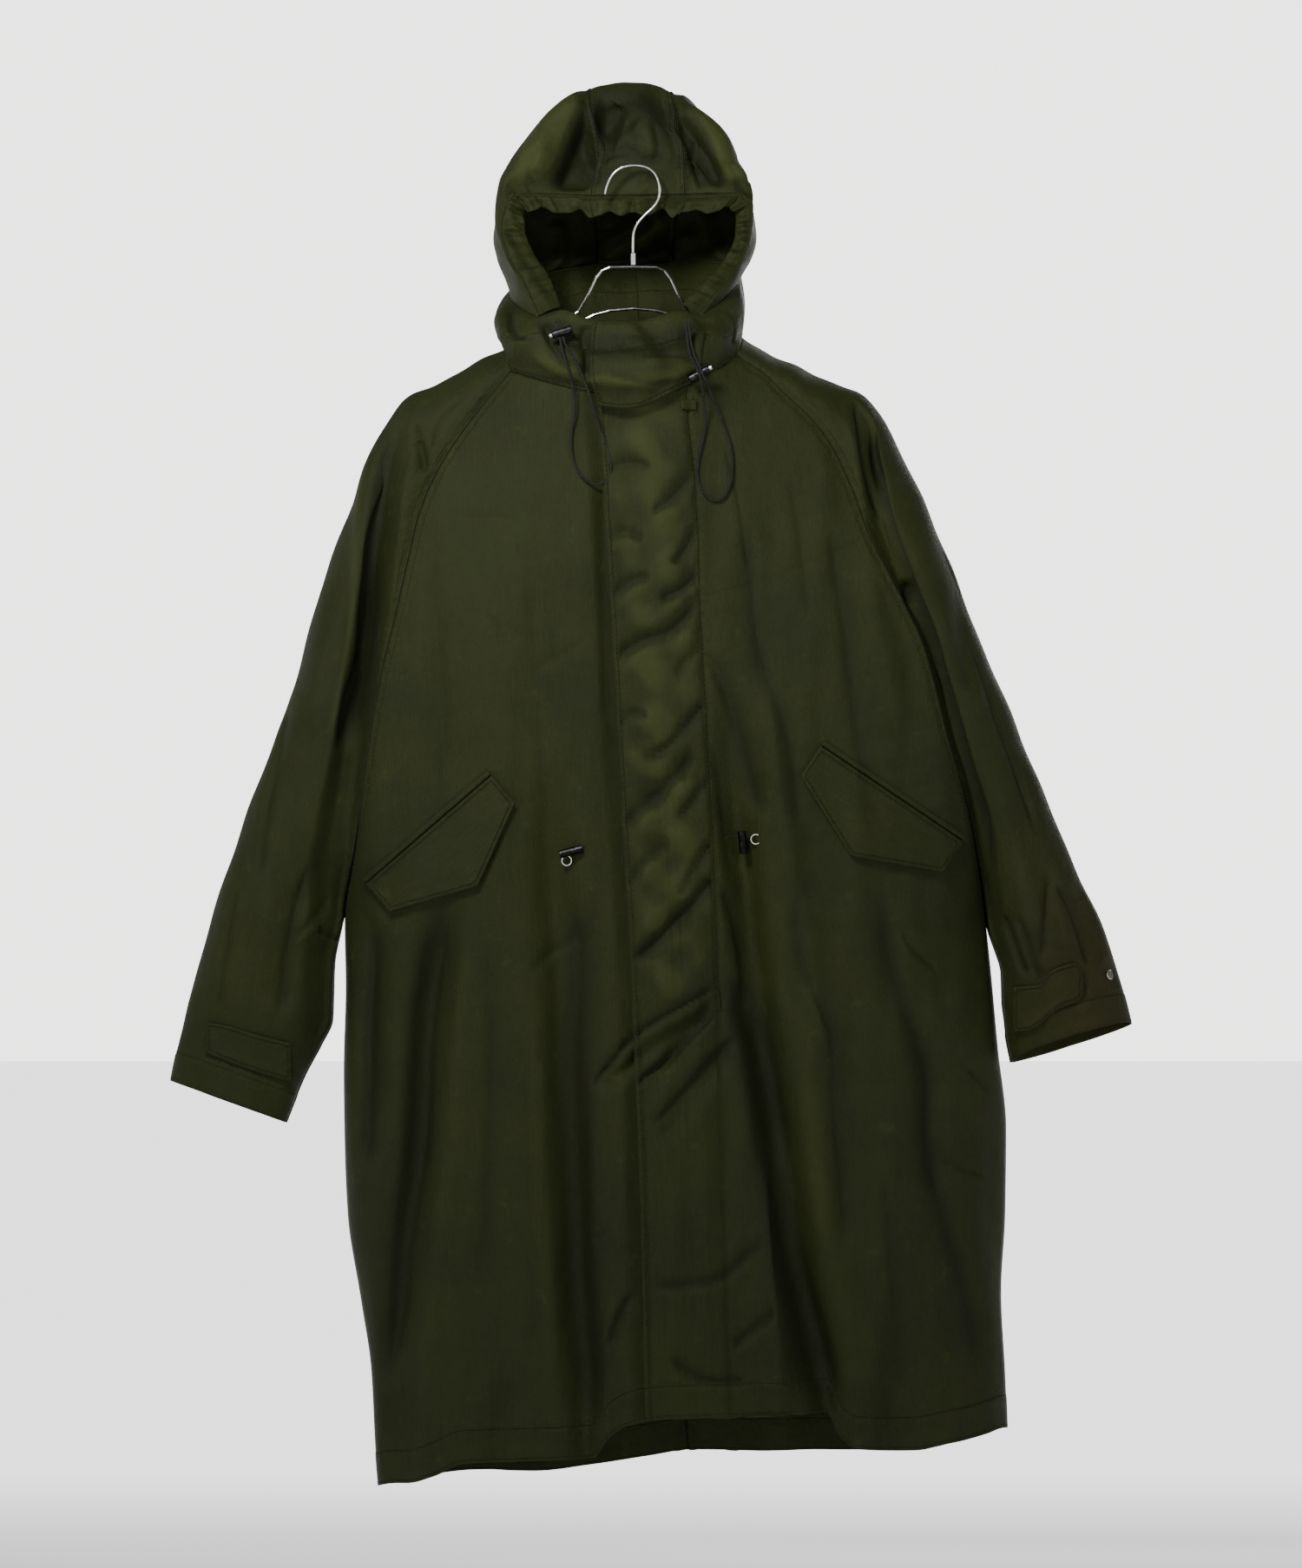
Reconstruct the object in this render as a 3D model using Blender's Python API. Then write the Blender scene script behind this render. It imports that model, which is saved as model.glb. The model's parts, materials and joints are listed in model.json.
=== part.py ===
"""Fishtail parka on a wire hanger.

The coat hangs with its front towards -Y. The origin is the inner top of the hanger's hook.
Tables are in millimetres and the meshes in metres. "Right" and "left" are the wearer's, so
the right side has negative x. Each cloth piece is a grid of points, worked out from short
tables, that gets a wall of even thickness. Pieces that meet at a seam share their edge.
"""
import math
from types import SimpleNamespace

import bmesh
import bpy
import numpy as np
from mathutils import Matrix, Vector
from mathutils.bvhtree import BVHTree

for leftover in list(bpy.data.objects):
    bpy.data.objects.remove(leftover, do_unlink=True)

# ---------------------------------------------------------------- driving sizes
MM = 0.001
WALL = 1.2              # cloth thickness
SEAM_GAP = 0.3          # space between two pieces at a seam
ARM_ROWS = 12           # rows of points from the neck to the underarm
LOW_ROWS = 12           # rows from the underarm to the hem
CUFF_ROWS = 6           # rows from the underarm to the cuff
FLY_FINER = 2           # rows of the fly for each row of the front
LAP = 5.0               # depth by which the right front lies behind the left one
LAP_WIDTH = 34.0        # hidden width of the right front under the fly
WIRE = 3.0              # hanger wire
SEAT = 0.35             # space under a piece that lies on the cloth
CORD = 2.4              # hood cord
BARREL = 8.0            # diameter of a cord toggle
PLUNGER = 5.0           # diameter of the button at a toggle's end
EYELET = 11.0
POCKET_LENGTH = 183.0
POCKET_END = 36.0       # depth of a pocket flap at its ends
POCKET_MIDDLE = 74.0    # depth at its point
WELT_WIDTH = 6.0


class Table:
    """Rows with named columns, read as smooth curves; the first column is the place."""

    def __init__(self, names, *rows):
        self.names = names.split()
        self.rows = np.array(rows, dtype=float)
        rise = np.diff(self.rows, axis=0) / np.diff(self.rows[:, :1], axis=0)
        product = rise[:-1] * rise[1:]
        total = np.where(product > 0, rise[:-1] + rise[1:], 1.0)
        inner = np.where(product > 0, 2 * product / total, 0.0)
        self.slopes = np.vstack([rise[:1], inner, rise[-1:]])

    def at(self, place):
        places = self.rows[:, 0]
        place = np.clip(np.asarray(place, dtype=float), places[0], places[-1])
        low = np.clip(np.searchsorted(places, place, side="right") - 1, 0, len(places) - 2)
        step = (places[low + 1] - places[low])[..., None]
        t = (place - places[low])[..., None] / step
        value = ((1 + 2 * t) * (1 - t) ** 2 * self.rows[low]
                 + t * (1 - t) ** 2 * step * self.slopes[low]
                 + t * t * (3 - 2 * t) * self.rows[low + 1]
                 + t * t * (t - 1) * step * self.slopes[low + 1])
        return SimpleNamespace(**{name: value[..., i] for i, name in enumerate(self.names)})


def ease(low, high, value):
    """0 below low, 1 above high, smooth between."""
    t = np.clip((value - low) / (high - low), 0.0, 1.0)
    return t * t * (3 - 2 * t)


def grid(first, second):
    """Two matching arrays, one row for each value of first."""
    return np.meshgrid(first, second, indexing="ij")


def stack(x, y, z):
    return np.stack(np.broadcast_arrays(x, y, z), axis=-1)


# ---------------------------------------------------------------- tables of the coat
# down: 0 at the neck, 1 at the underarm, 2 at the hem.
# Raglan seam, then side seam; deep is how far the seam lies in front of the hanger.
SEAM_RIGHT = Table(
    "down x z deep back_deep",
    (0.00, -123, -201, 38, 30),
    (0.08, -145, -228, 40, 34),
    (0.16, -166, -255, 42, 36),
    (0.24, -184, -281, 43, 37),
    (0.32, -198, -306, 45, 38),
    (0.42, -212, -340, 48, 40),
    (0.52, -224, -390, 52, 42),
    (0.62, -237, -447, 56, 44),
    (0.72, -251, -504, 56, 44),
    (0.82, -265, -589, 50, 38),
    (0.91, -276, -674, 34, 26),
    (1.00, -286, -740, 0, 0),
    (1.11, -285, -803, 0, 0),
    (1.27, -287, -887, 0, 0),
    (1.39, -286, -958, 0, 0),
    (1.52, -283, -1027, 0, 0),
    (1.67, -270, -1111, 0, 0),
    (1.79, -260, -1179, 0, 0),
    (1.93, -256, -1255, 0, 0),
    (2.00, -253, -1293, 0, 0))
SEAM_LEFT = Table(
    "down x z deep back_deep",
    (0.00, 99, -186, 38, 30),
    (0.08, 125, -203, 40, 34),
    (0.16, 149, -226, 42, 36),
    (0.24, 173, -249, 43, 37),
    (0.32, 190, -272, 45, 38),
    (0.42, 209, -310, 48, 40),
    (0.52, 229, -362, 52, 42),
    (0.62, 252, -408, 56, 44),
    (0.72, 280, -466, 56, 44),
    (0.82, 305, -557, 50, 38),
    (0.91, 328, -640, 34, 26),
    (1.00, 344, -751, 0, 0),
    (1.08, 348, -789, 0, 0),
    (1.24, 355, -865, 0, 0),
    (1.39, 363, -942, 0, 0),
    (1.57, 362, -1027, 0, 0),
    (1.73, 358, -1103, 0, 0),
    (1.89, 362, -1184, 0, 0),
    (2.00, 364, -1236, 0, 0))
# The coat's middle line, the fly's two edges, and the depth of front and back there.
MIDDLE = Table(
    "down x z fly_edge fly_stitch front back_z back",
    (0.00, 4, -228, -38, 49, 80, -171, 66),
    (0.08, 6, -256, -37, 51, 77, -204, 62),
    (0.16, 8, -284, -35, 54, 76, -238, 60),
    (0.24, 10, -310, -33, 57, 77, -270, 60),
    (0.32, 12, -339, -32, 59, 79, -306, 61),
    (0.42, 14, -381, -29, 61, 81, -356, 62),
    (0.52, 17, -428, -26, 62, 83, -412, 63),
    (0.62, 19, -481, -23, 65, 85, -470, 64),
    (0.72, 21, -543, -20, 69, 87, -536, 65),
    (0.82, 24, -615, -16, 73, 88, -612, 66),
    (0.91, 26, -685, -12, 77, 89, -684, 66),
    (1.00, 28, -748, -8, 79, 90, -748, 66),
    (1.50, 40, -987, 3, 87, 92, -1010, 68),
    (2.00, 52, -1226, 10, 96, 90, -1262, 68))
HEM_FRONT = Table(
    "x z",
    (-253, -1293), (-228, -1294), (-198, -1284), (-168, -1270), (-113, -1268),
    (-62, -1266), (-40, -1264), (-28, -1246), (-8, -1233), (30, -1226), (98, -1224),
    (152, -1222), (186, -1219), (200, -1244), (218, -1256), (275, -1258), (300, -1254),
    (345, -1248), (364, -1236))
HEM_BACK = Table(
    "x z",
    (-253, -1293), (-156, -1278), (-101, -1280), (-46, -1274), (13, -1265), (55, -1259),
    (119, -1260), (182, -1259), (275, -1259), (364, -1236))
# Sleeves: the outer edge, the depth in front and behind, how sharp the outer edge is, and
# the deep crease beside the main tube (its place from seam 0 to outer edge 1).
SLEEVE_RIGHT = Table(
    "down x z front back round crease_at crease",
    (0.00, -127, -176, 40, 32, 0.80, 0.88, 0),
    (0.08, -160, -193, 43, 36, 0.80, 0.88, 0),
    (0.16, -197, -214, 46, 40, 0.80, 0.88, 0),
    (0.24, -232, -232, 48, 42, 0.75, 0.88, 0),
    (0.32, -252, -262, 50, 44, 0.65, 0.84, 8),
    (0.42, -270, -310, 54, 46, 0.55, 0.74, 14),
    (0.52, -290, -357, 58, 48, 0.50, 0.60, 20),
    (0.62, -309, -414, 60, 50, 0.50, 0.51, 24),
    (0.72, -328, -481, 61, 50, 0.50, 0.44, 24),
    (0.82, -355, -564, 60, 50, 0.50, 0.37, 20),
    (0.91, -383, -636, 57, 47, 0.50, 0.36, 13),
    (1.00, -404, -697, 54, 44, 0.50, 0.27, 10),
    (1.20, -419, -746, 48, 40, 0.50, 0.22, 9),
    (1.50, -434, -801, 42, 34, 0.50, 0.19, 8),
    (1.65, -442, -827, 38, 30, 0.50, 0.14, 4),
    (1.80, -448, -853, 34, 26, 0.50, 0.10, 0),
    (2.00, -456, -896, 32, 22, 0.50, 0.10, 0))
SLEEVE_LEFT = Table(
    "down x z front back round crease_at crease",
    (0.00, 104, -167, 40, 32, 0.80, 0.88, 0),
    (0.08, 139, -187, 43, 36, 0.80, 0.88, 0),
    (0.16, 180, -205, 46, 40, 0.80, 0.88, 0),
    (0.24, 220, -223, 48, 42, 0.75, 0.88, 3),
    (0.32, 240, -241, 50, 44, 0.65, 0.84, 9),
    (0.42, 258, -277, 54, 46, 0.55, 0.62, 14),
    (0.52, 280, -323, 58, 48, 0.50, 0.42, 16),
    (0.62, 302, -376, 60, 50, 0.50, 0.32, 16),
    (0.72, 331, -446, 61, 50, 0.50, 0.26, 15),
    (0.82, 367, -536, 60, 50, 0.50, 0.22, 14),
    (0.91, 403, -620, 57, 47, 0.50, 0.20, 13),
    (1.00, 436, -699, 54, 44, 0.50, 0.17, 10),
    (1.20, 450, -731, 50, 40, 0.50, 0.12, 5),
    (1.50, 467, -771, 44, 34, 0.50, 0.10, 0),
    (1.65, 473, -789, 40, 30, 0.50, 0.10, 0),
    (1.80, 479, -810, 37, 26, 0.50, 0.10, 0),
    (2.00, 486, -840, 34, 22, 0.50, 0.10, 0))
# Inner edge of each sleeve below the underarm.
INNER_RIGHT = Table(
    "down x z",
    (1.00, -287, -741), (1.20, -295, -782), (1.50, -297, -836), (1.65, -308, -861),
    (1.80, -324, -891), (2.00, -343, -937))
INNER_LEFT = Table(
    "down x z",
    (1.00, 345, -752), (1.20, 357, -790), (1.50, 358, -820), (1.65, 360, -836),
    (1.80, 362, -853), (2.00, 367, -878))
# Folds seen from the front: a line from top to low, bowed sideways, with its half width
# and its depth into the cloth (a negative depth is a ridge).
FRONT_FOLDS = (
    # x_top z_top  x_low  z_low  bow width depth
    (-190, -690, -250, -1380, -3, 17, 15),
    (-84, -560, -36, -1380, 9, 16, 16),
    (78, -480, 214, -1380, 8, 17, 22),
    (129, -460, 200, -910, 12, 15, -8),
    (136, -940, 140, -1230, 0, 13, -9),
    (273, -790, 300, -1010, 0, 14, 7),
    (-272, -780, -272, -1010, 0, 12, 5),
    (-205, -400, -180, -620, 0, 14, 4),
    (84, -802, 8, -906, 0, 9, 7),
    (76, -818, -42, -908, 0, 8, 6),
    (92, -858, 22, -958, 0, 11, 6),
    (215, -330, 268, -560, 4, 14, -5),
    (-120, -1180, -150, -1330, 0, 14, 6),
    (250, -1100, 262, -1330, 0, 16, 6))
BACK_FOLDS = (
    (-150, -420, -205, -1340, 6, 18, 11),
    (-40, -620, -70, -1340, -4, 17, 8),
    (110, -560, 150, -1340, 5, 18, 11),
    (200, -480, 262, -1340, -6, 16, 9),
    (290, -800, 310, -1180, 0, 14, 6),
    (-250, -800, -240, -1150, 0, 14, 6))
# Puckers across the fly, from its free edge side to its stitched side.
FLY_PUCKERS = (
    (-20, -362, 3, -362, 0, 8, 4),
    (-18, -393, 5, -395, 0, 8, 4),
    (35, -374, 58, -340, 0, 8, 3),
    (30, -416, 64, -414, 0, 8, 6),
    (-12, -464, 60, -438, 0, 10, 7),
    (-18, -506, 14, -506, 0, 9, 4),
    (28, -557, 68, -540, 0, 10, 7),
    (-10, -576, 12, -576, 0, 8, 3),
    (-10, -628, 50, -594, 0, 12, 8),
    (0, -677, 42, -660, 0, 10, 4),
    (40, -698, 74, -654, 0, 11, 6),
    (0, -762, 78, -704, 0, 13, 9),
    (2, -790, 40, -788, 0, 8, 4))
SLEEVE_FOLDS = (
    (-215, -268, -207, -302, 0, 7, 4),
    (-330, -700, -352, -830, 0, 16, 5),
    (300, -352, 330, -520, 0, 9, 6),
    (360, -560, 420, -760, 4, 14, 6),
    (430, -700, 452, -780, 0, 12, 5))
# Hood: the seams of its centre panel from the brim (0) over the crown to the neck (1),
# the widest place of each side panel, and the edge of the face opening.
HOOD_SEAM_RIGHT = Table(
    "along x y z",
    (0.00, -44, 17, -29), (0.10, -44, 16, 5), (0.20, -45, 23, 42), (0.30, -47, 40, 68),
    (0.42, -46, 70, 79), (0.55, -43, 104, 64), (0.68, -42, 126, 16), (0.80, -41, 131, -32),
    (0.90, -39, 126, -66), (1.00, -38, 114, -93))
HOOD_SEAM_LEFT = Table(
    "along x y z",
    (0.00, 48, 17, -28), (0.10, 47, 16, 5), (0.20, 46, 23, 42), (0.30, 42, 40, 66),
    (0.42, 35, 70, 76), (0.55, 36, 104, 62), (0.68, 38, 126, 16), (0.80, 38, 131, -32),
    (0.90, 37, 126, -66), (1.00, 36, 114, -92))
HOOD_SIDE_RIGHT = Table(
    "along x y z",
    (0.00, -84, 15, -27), (0.15, -99, 16, 14), (0.30, -110, 30, 20), (0.42, -118, 48, 4),
    (0.55, -127, 60, -20), (0.68, -132, 66, -50), (0.80, -131, 60, -75),
    (0.90, -126, 50, -97), (1.00, -121, 32, -116))
HOOD_SIDE_LEFT = Table(
    "along x y z",
    (0.00, 79, 15, -27), (0.15, 84, 16, 14), (0.30, 90, 30, 20), (0.42, 99, 48, 3),
    (0.55, 109, 60, -20), (0.68, 114, 66, -50), (0.80, 112, 60, -74),
    (0.90, 106, 50, -90), (1.00, 102, 30, -100))
OPENING_RIGHT = Table(
    "along x y z",
    (0.00, -122, 9, -26), (0.20, -132, 5, -42), (0.40, -135, 0, -62), (0.60, -128, -16, -88),
    (0.80, -112, -38, -115), (1.00, -97, -56, -148))
OPENING_LEFT = Table(
    "along x y z",
    (0.00, 108, 9, -26), (0.20, 114, 5, -42), (0.40, 113, 0, -66), (0.60, 104, -14, -93),
    (0.80, 88, -36, -116), (1.00, 64, -56, -147))
HOOD_FOLDS = (
    (-26, 76, -74, -24, 0, 17, 17),
    (6, 84, 98, -18, -8, 13, 13),
    (-6, 50, 30, -2, 0, 16, -5),
    (-112, -20, -128, -80, 0, 12, 5),
    (96, -30, 108, -80, 0, 12, 5))
# Drawcord channel: its width and how far its free edge turns in, from the right chin (0)
# over the brim (0.5) to the left chin (1).
CHANNEL = Table(
    "along width turn",
    (0.00, 27, 2), (0.10, 29, 4), (0.22, 28, 6), (0.30, 22, 4), (0.36, 17, 2), (0.50, 15, 1),
    (0.64, 17, 2), (0.70, 20, 4), (0.80, 16, 6), (0.92, 22, 4), (1.00, 24, 2))
# Top edge of the collar in front, from the hood's corner (0) to its free end (1).
COLLAR_TOP_RIGHT = Table(
    "along x y z",
    (0.00, -97, -56, -148), (0.25, -72, -62, -141), (0.50, -44, -65, -150), (1.00, 12, -66, -153))
COLLAR_TOP_LEFT = Table(
    "along x y z",
    (0.00, 64, -56, -147), (0.25, 42, -64, -142), (0.60, 0, -70, -152), (1.00, -42, -71, -152))
CUFF_TAB_RIGHT = Table(
    "x top low",
    (-422, -838, -868), (-400, -842, -877), (-378, -849, -885), (-356, -855, -892),
    (-338, -859, -897))
CUFF_TAB_LEFT = Table(
    "x top low",
    (369, -804, -849), (380, -803, -848), (394, -802, -842), (405, -789, -832),
    (418, -783, -823), (430, -780, -819), (438, -788, -812))
# Hanger, in its own plane: the neck of the frame, and the middle of the lower bar.
HANGER_NECK = ((-3, -98), (-26, -98.5), (-34, -102), (-40, -110), (-47, -125), (-57, -142),
               (-74, -155), (-98, -166))
HANGER_BAR = ((-3, -139), (-26, -141), (-41, -145), (-60, -154), (-80, -165))
HOOK = ((-31, -26.5), (-29, -18.5), (-24, -8.5), (-16, -1.5), (-6, 1.4), (3, 1.5), (11, -0.7),
        (17.5, -5.5), (21.5, -13), (23, -22.5), (21, -32.5), (16, -40), (8, -47.5), (1.5, -55),
        (-2.4, -63), (-3.2, -73), (-3.2, -84))
# Hood cords seen from the front: from the channel through the toggle, round and back.
CORD_RIGHT = (
    # x z
    (-79, -152), (-77, -157), (-75.4, -163.5), (-74, -172), (-70, -188), (-65.5, -202),
    (-61.5, -220), (-60, -240), (-63, -260), (-63, -280), (-58, -297), (-49, -308),
    (-39, -312), (-30, -309), (-25, -300), (-25, -286), (-30, -268), (-39, -246), (-47, -221),
    (-54, -202), (-64, -184), (-70, -173), (-72.4, -163.5), (-73.6, -157), (-75, -152))
CORD_LEFT = (
    (48.3, -153), (50, -170), (53, -186), (58, -196), (61.3, -203.5), (63.5, -212), (67, -235),
    (67, -258), (63, -278), (60, -297), (62, -312), (68, -323), (76, -328), (86, -324),
    (92, -311), (94, -293), (92, -273), (84, -249), (76, -229), (69, -213), (64.3, -203.5),
    (61.2, -195), (56.5, -185), (53, -170), (51.3, -153))
# Barrels seen from the front: x and z of both ends.
HOOD_BARREL_RIGHT = (-85, -167, -62.5, -160)
HOOD_BARREL_LEFT = (52, -209.5, 74, -197.5)
WAIST_BARREL_RIGHT = (-75, -674, -52, -668)
WAIST_BARREL_LEFT = (103, -651, 105.5, -673)
WAIST_CORD_LEFT = ((99, -657), (94, -656), (87, -658.5))


# ---------------------------------------------------------------- shape of the cloth
def push(x, z, folds):
    """Depth of a list of folds at a place seen from the front."""
    total = np.zeros(np.broadcast(x, z).shape)
    for x_top, z_top, x_low, z_low, bow, width, depth in folds:
        length = math.hypot(x_low - x_top, z_low - z_top)
        run_x = (x_low - x_top) / length
        run_z = (z_low - z_top) / length
        t = ((x - x_top) * run_x + (z - z_top) * run_z) / length
        aside = (x - x_top) * run_z - (z - z_top) * run_x - bow * 4 * t * (1 - t)
        fade = ease(0.0, 0.2, t) * (1 - ease(0.85, 1.0, t))
        total = total + depth * fade * np.exp(-(aside / width) ** 2)
    return total


def body_place(x, down, front):
    """Points of the front or the back at distance x across the coat."""
    middle = MIDDLE.at(down)
    right = SEAM_RIGHT.at(down)
    left = SEAM_LEFT.at(down)
    is_right = x < middle.x
    seam_x = np.where(is_right, right.x, left.x)
    seam_z = np.where(is_right, right.z, left.z)
    side = np.clip((x - middle.x) / (seam_x - middle.x), 0.0, 1.0)
    hem_share = np.clip((down - 1.5) / 0.5, 0.0, 1.0) ** 2
    bulge = 1.0 - 0.5 * ease(0.7, 1.0, down)
    inner = (1 - side ** 2.4) ** bulge
    if front:
        edge = np.where(is_right, right.deep, left.deep)
        z = middle.z + (seam_z - middle.z) * side ** 1.6
        keep = 1 - side ** 10
        z = z + (HEM_FRONT.at(x).z - z) * hem_share * keep
        y = -(edge + (middle.front - edge) * inner) + push(x, z, FRONT_FOLDS) * keep
    else:
        edge = np.where(is_right, right.back_deep, left.back_deep)
        seam_z = seam_z + back_lift(down)
        z = middle.back_z + (seam_z - middle.back_z) * side ** 1.6
        keep = 1 - side ** 10
        z = z + (HEM_BACK.at(x).z - z) * hem_share * keep
        y = edge + (middle.back - edge) * inner - push(x, z, BACK_FOLDS) * keep
    return stack(x, y, z)


def back_lift(down):
    """How much higher the raglan seam runs behind than in front."""
    return 14 * np.clip(1 - down / 0.5, 0.0, 1.0) ** 2


def across(start, stop, share):
    return start + (stop - start) * share


def front_panel(side, rows):
    """Grid of a front, from the fly to the raglan and side seam."""
    middle = MIDDLE.at(rows)
    seam = (SEAM_RIGHT if side < 0 else SEAM_LEFT).at(rows)
    if side < 0:
        share = 1 - (1 - np.linspace(0, 1, 10)) ** 1.4
        visible = across((middle.fly_edge - 14)[:, None], seam.x[:, None], share[None, :])
        hidden = np.stack([middle.fly_edge + LAP_WIDTH, middle.fly_edge - 2], axis=1)
        x = np.concatenate([hidden, visible], axis=1)
        points = body_place(x, np.broadcast_to(rows[:, None], x.shape), True)
        points[:, :2, 1] += LAP
        return points
    share = 1 - (1 - np.linspace(0, 1, 11)) ** 1.4
    x = across(middle.fly_stitch[:, None], seam.x[:, None], share[None, :])
    return body_place(x, np.broadcast_to(rows[:, None], x.shape), True)


def fly_panel(front_left, rows, finer):
    """Band between the fly's free edge and its stitch line, with finer rows."""
    fine = np.interp(np.arange((len(rows) - 1) * finer + 1) / finer, np.arange(len(rows)), rows)
    middle = MIDDLE.at(fine)
    share = np.linspace(0, 1, 6)
    x = across(middle.fly_edge[:, None], middle.fly_stitch[:, None], share[None, :])
    points = body_place(x, np.broadcast_to(fine[:, None], x.shape), True)
    calm = 1 - share[None, :] ** 6
    points[..., 1] -= (3.0 + push(points[..., 0], points[..., 2], FLY_PUCKERS)) * calm
    for axis in range(3):
        points[:, -1, axis] = np.interp(fine, rows, front_left[:, 0, axis])
    return points


def back_panel(side, rows):
    """Grid of half the back, from the centre seam to the raglan and side seam."""
    middle = MIDDLE.at(rows)
    seam = (SEAM_RIGHT if side < 0 else SEAM_LEFT).at(rows)
    share = 1 - (1 - np.linspace(0, 1, 9)) ** 1.4
    vent = side * 3.0 * ease(1.5, 2.0, rows)
    x = across((middle.x + vent)[:, None], seam.x[:, None], share[None, :])
    return body_place(x, np.broadcast_to(rows[:, None], x.shape), False)


CREASE_WIDTH = 0.2      # of the sleeve's width


def sleeve_panel(side, arm_rows, cuff_rows):
    """Grid of a sleeve: front seam or inner edge, outer edge, back seam or inner edge."""
    rows = np.concatenate([arm_rows, cuff_rows[1:]])
    table = SLEEVE_RIGHT if side < 0 else SLEEVE_LEFT
    seam = (SEAM_RIGHT if side < 0 else SEAM_LEFT).at(np.minimum(rows, 1.0))
    inner = (INNER_RIGHT if side < 0 else INNER_LEFT).at(np.maximum(rows, 1.0))
    lower = rows > 0.999
    start_x = np.where(lower, inner.x, seam.x)
    start_z = np.where(lower, inner.z, seam.z)
    outer = table.at(rows)
    ring = ease(0.86, 1.1, rows)[:, None]
    halves = []
    for count, depth, seam_depth, sign, lift in (
            (9, outer.front, seam.deep, -1, 0.0), (7, outer.back, seam.back_deep, 1, 1.0)):
        even = np.linspace(0, 1, count + 1)[None, :]
        share = (1 - (1 - even) ** 1.5) * (1 - ring) + (0.5 - 0.5 * np.cos(np.pi * even)) * ring
        x = across(start_x[:, None], outer.x[:, None], share)
        first_z = (start_z + lift * np.where(lower, 0.0, back_lift(rows)))[:, None]
        z = across(first_z, outer.z[:, None], share)
        seam_y = np.where(lower, 0.0, seam_depth)[:, None]
        deep = depth[:, None]
        open_part = deep * (1 - share ** 2.2) ** outer.round[:, None]
        open_part = open_part + (seam_y - deep) * (1 - share) ** 3
        round_part = deep * np.sqrt(np.clip(4 * share * (1 - share), 0, 1))
        y = open_part * (1 - ring) + round_part * ring
        offset = (outer.crease_at[:, None] - share) / CREASE_WIDTH
        dip = ease(-0.2, 0.7, offset) * (1 - ease(0.9, 2.4, offset))
        calm = ease(0.0, 0.12, share) * (1 - ease(0.94, 1.0, share))
        strength = 1.0 if sign < 0 else 0.6
        y = y - strength * outer.crease[:, None] * dip * ease(0.0, 0.08, share)
        if sign < 0:
            y = y - push(x, z, SLEEVE_FOLDS) * calm
        halves.append(stack(x, sign * y, z))
    front, back = halves
    return np.concatenate([front, back[:, -2::-1]], axis=1)


def hood_radial(points):
    """Direction away from the middle of the head space."""
    away = points - np.array([-10.0, 62.0, -30.0])
    return away / np.linalg.norm(away, axis=-1, keepdims=True)


def hood_folded(points):
    """Hood points pushed in where folds run down from the crown."""
    facing = 1 - ease(45, 75, points[..., 1])
    amount = push(points[..., 0], points[..., 2], HOOD_FOLDS) * facing
    calm = ease(-30, -12, points[..., 2])[..., None]
    return points - hood_radial(points) * (amount[..., None] * calm)


def hood_side(side, along, share):
    """Side panel: rows from the centre panel's seam round to the face opening."""
    tables = ((HOOD_SEAM_RIGHT, HOOD_SIDE_RIGHT, OPENING_RIGHT) if side < 0
              else (HOOD_SEAM_LEFT, HOOD_SIDE_LEFT, OPENING_LEFT))
    rows = [table.at(along) for table in tables]
    top, wide, edge = [stack(row.x, row.y, row.z)[:, None, :] for row in rows]
    u = share[None, :, None]
    points = top * (1 - u) * (1 - 2 * u) + wide * 4 * u * (1 - u) + edge * u * (2 * u - 1)
    near = (ease(0.0, 0.05, along) * (1 - ease(0.25, 0.6, along)))[:, None, None]
    corner = 12 * near * 17.6 * u ** 6 * (1 - u)
    points = points + corner * np.array([side * 0.55, 0.6, 0.5])
    return hood_folded(points)


def hood_centre(along, share):
    """Centre panel, crowned between its two seams."""
    right = HOOD_SEAM_RIGHT.at(along)
    left = HOOD_SEAM_LEFT.at(along)
    start = stack(right.x, right.y, right.z)[:, None, :]
    stop = stack(left.x, left.y, left.z)[:, None, :]
    u = share[None, :, None]
    points = start + (stop - start) * u
    crown = 7 * 4 * u * (1 - u) * (ease(0.0, 0.15, along) * (1 - ease(0.85, 1.0, along)))[:, None, None]
    return hood_folded(points + hood_radial(points) * crown)


def channel_panel(rim):
    """Drawcord channel along the rim of the hood, gathered towards its free edge."""
    step = np.linalg.norm(np.diff(rim, axis=0), axis=1)
    along = np.concatenate([[0.0], np.cumsum(step)]) / step.sum()
    size = CHANNEL.at(along)
    centre = np.array([-12.0, -15.0, -95.0])
    tangent = np.gradient(rim, axis=0)
    tangent /= np.linalg.norm(tangent, axis=1, keepdims=True)
    inward = centre - rim
    inward -= (inward * tangent).sum(axis=1, keepdims=True) * tangent
    inward /= np.linalg.norm(inward, axis=1, keepdims=True)
    reach = along * step.sum()
    wave = np.sin(reach * 0.19) + 0.5 * np.sin(reach * 0.31 + 1.0)
    wave = wave * ease(0.0, 0.05, along) * (1 - ease(0.95, 1.0, along))
    across_share = np.array([0.0, 0.45, 1.0])
    rows = []
    for share in across_share:
        point = rim + inward * (size.width * share)[:, None]
        point[:, 1] += size.turn * share + 2.0 * wave * share
        point[:, 2] += 4.0 * wave * share * ease(0.5, 0.9, np.abs(tangent[:, 0]))
        rows.append(point)
    return np.stack(rows, axis=1)


def collar_panel(base, top, out):
    """Stand collar between its neck edge and its top edge, rolled outwards by out."""
    share = np.linspace(0, 1, 6)[:, None, None]
    points = base[None] + (top[None] - base[None]) * share
    away = (base + top) / 2 - np.array([-14.0, -2.0, 0.0])
    away[:, 2] = 0
    away /= np.linalg.norm(away, axis=1, keepdims=True)
    roll = np.sin(np.pi * share ** 1.1)
    return points + away[None] * (out[None, :, None] * roll)


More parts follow.
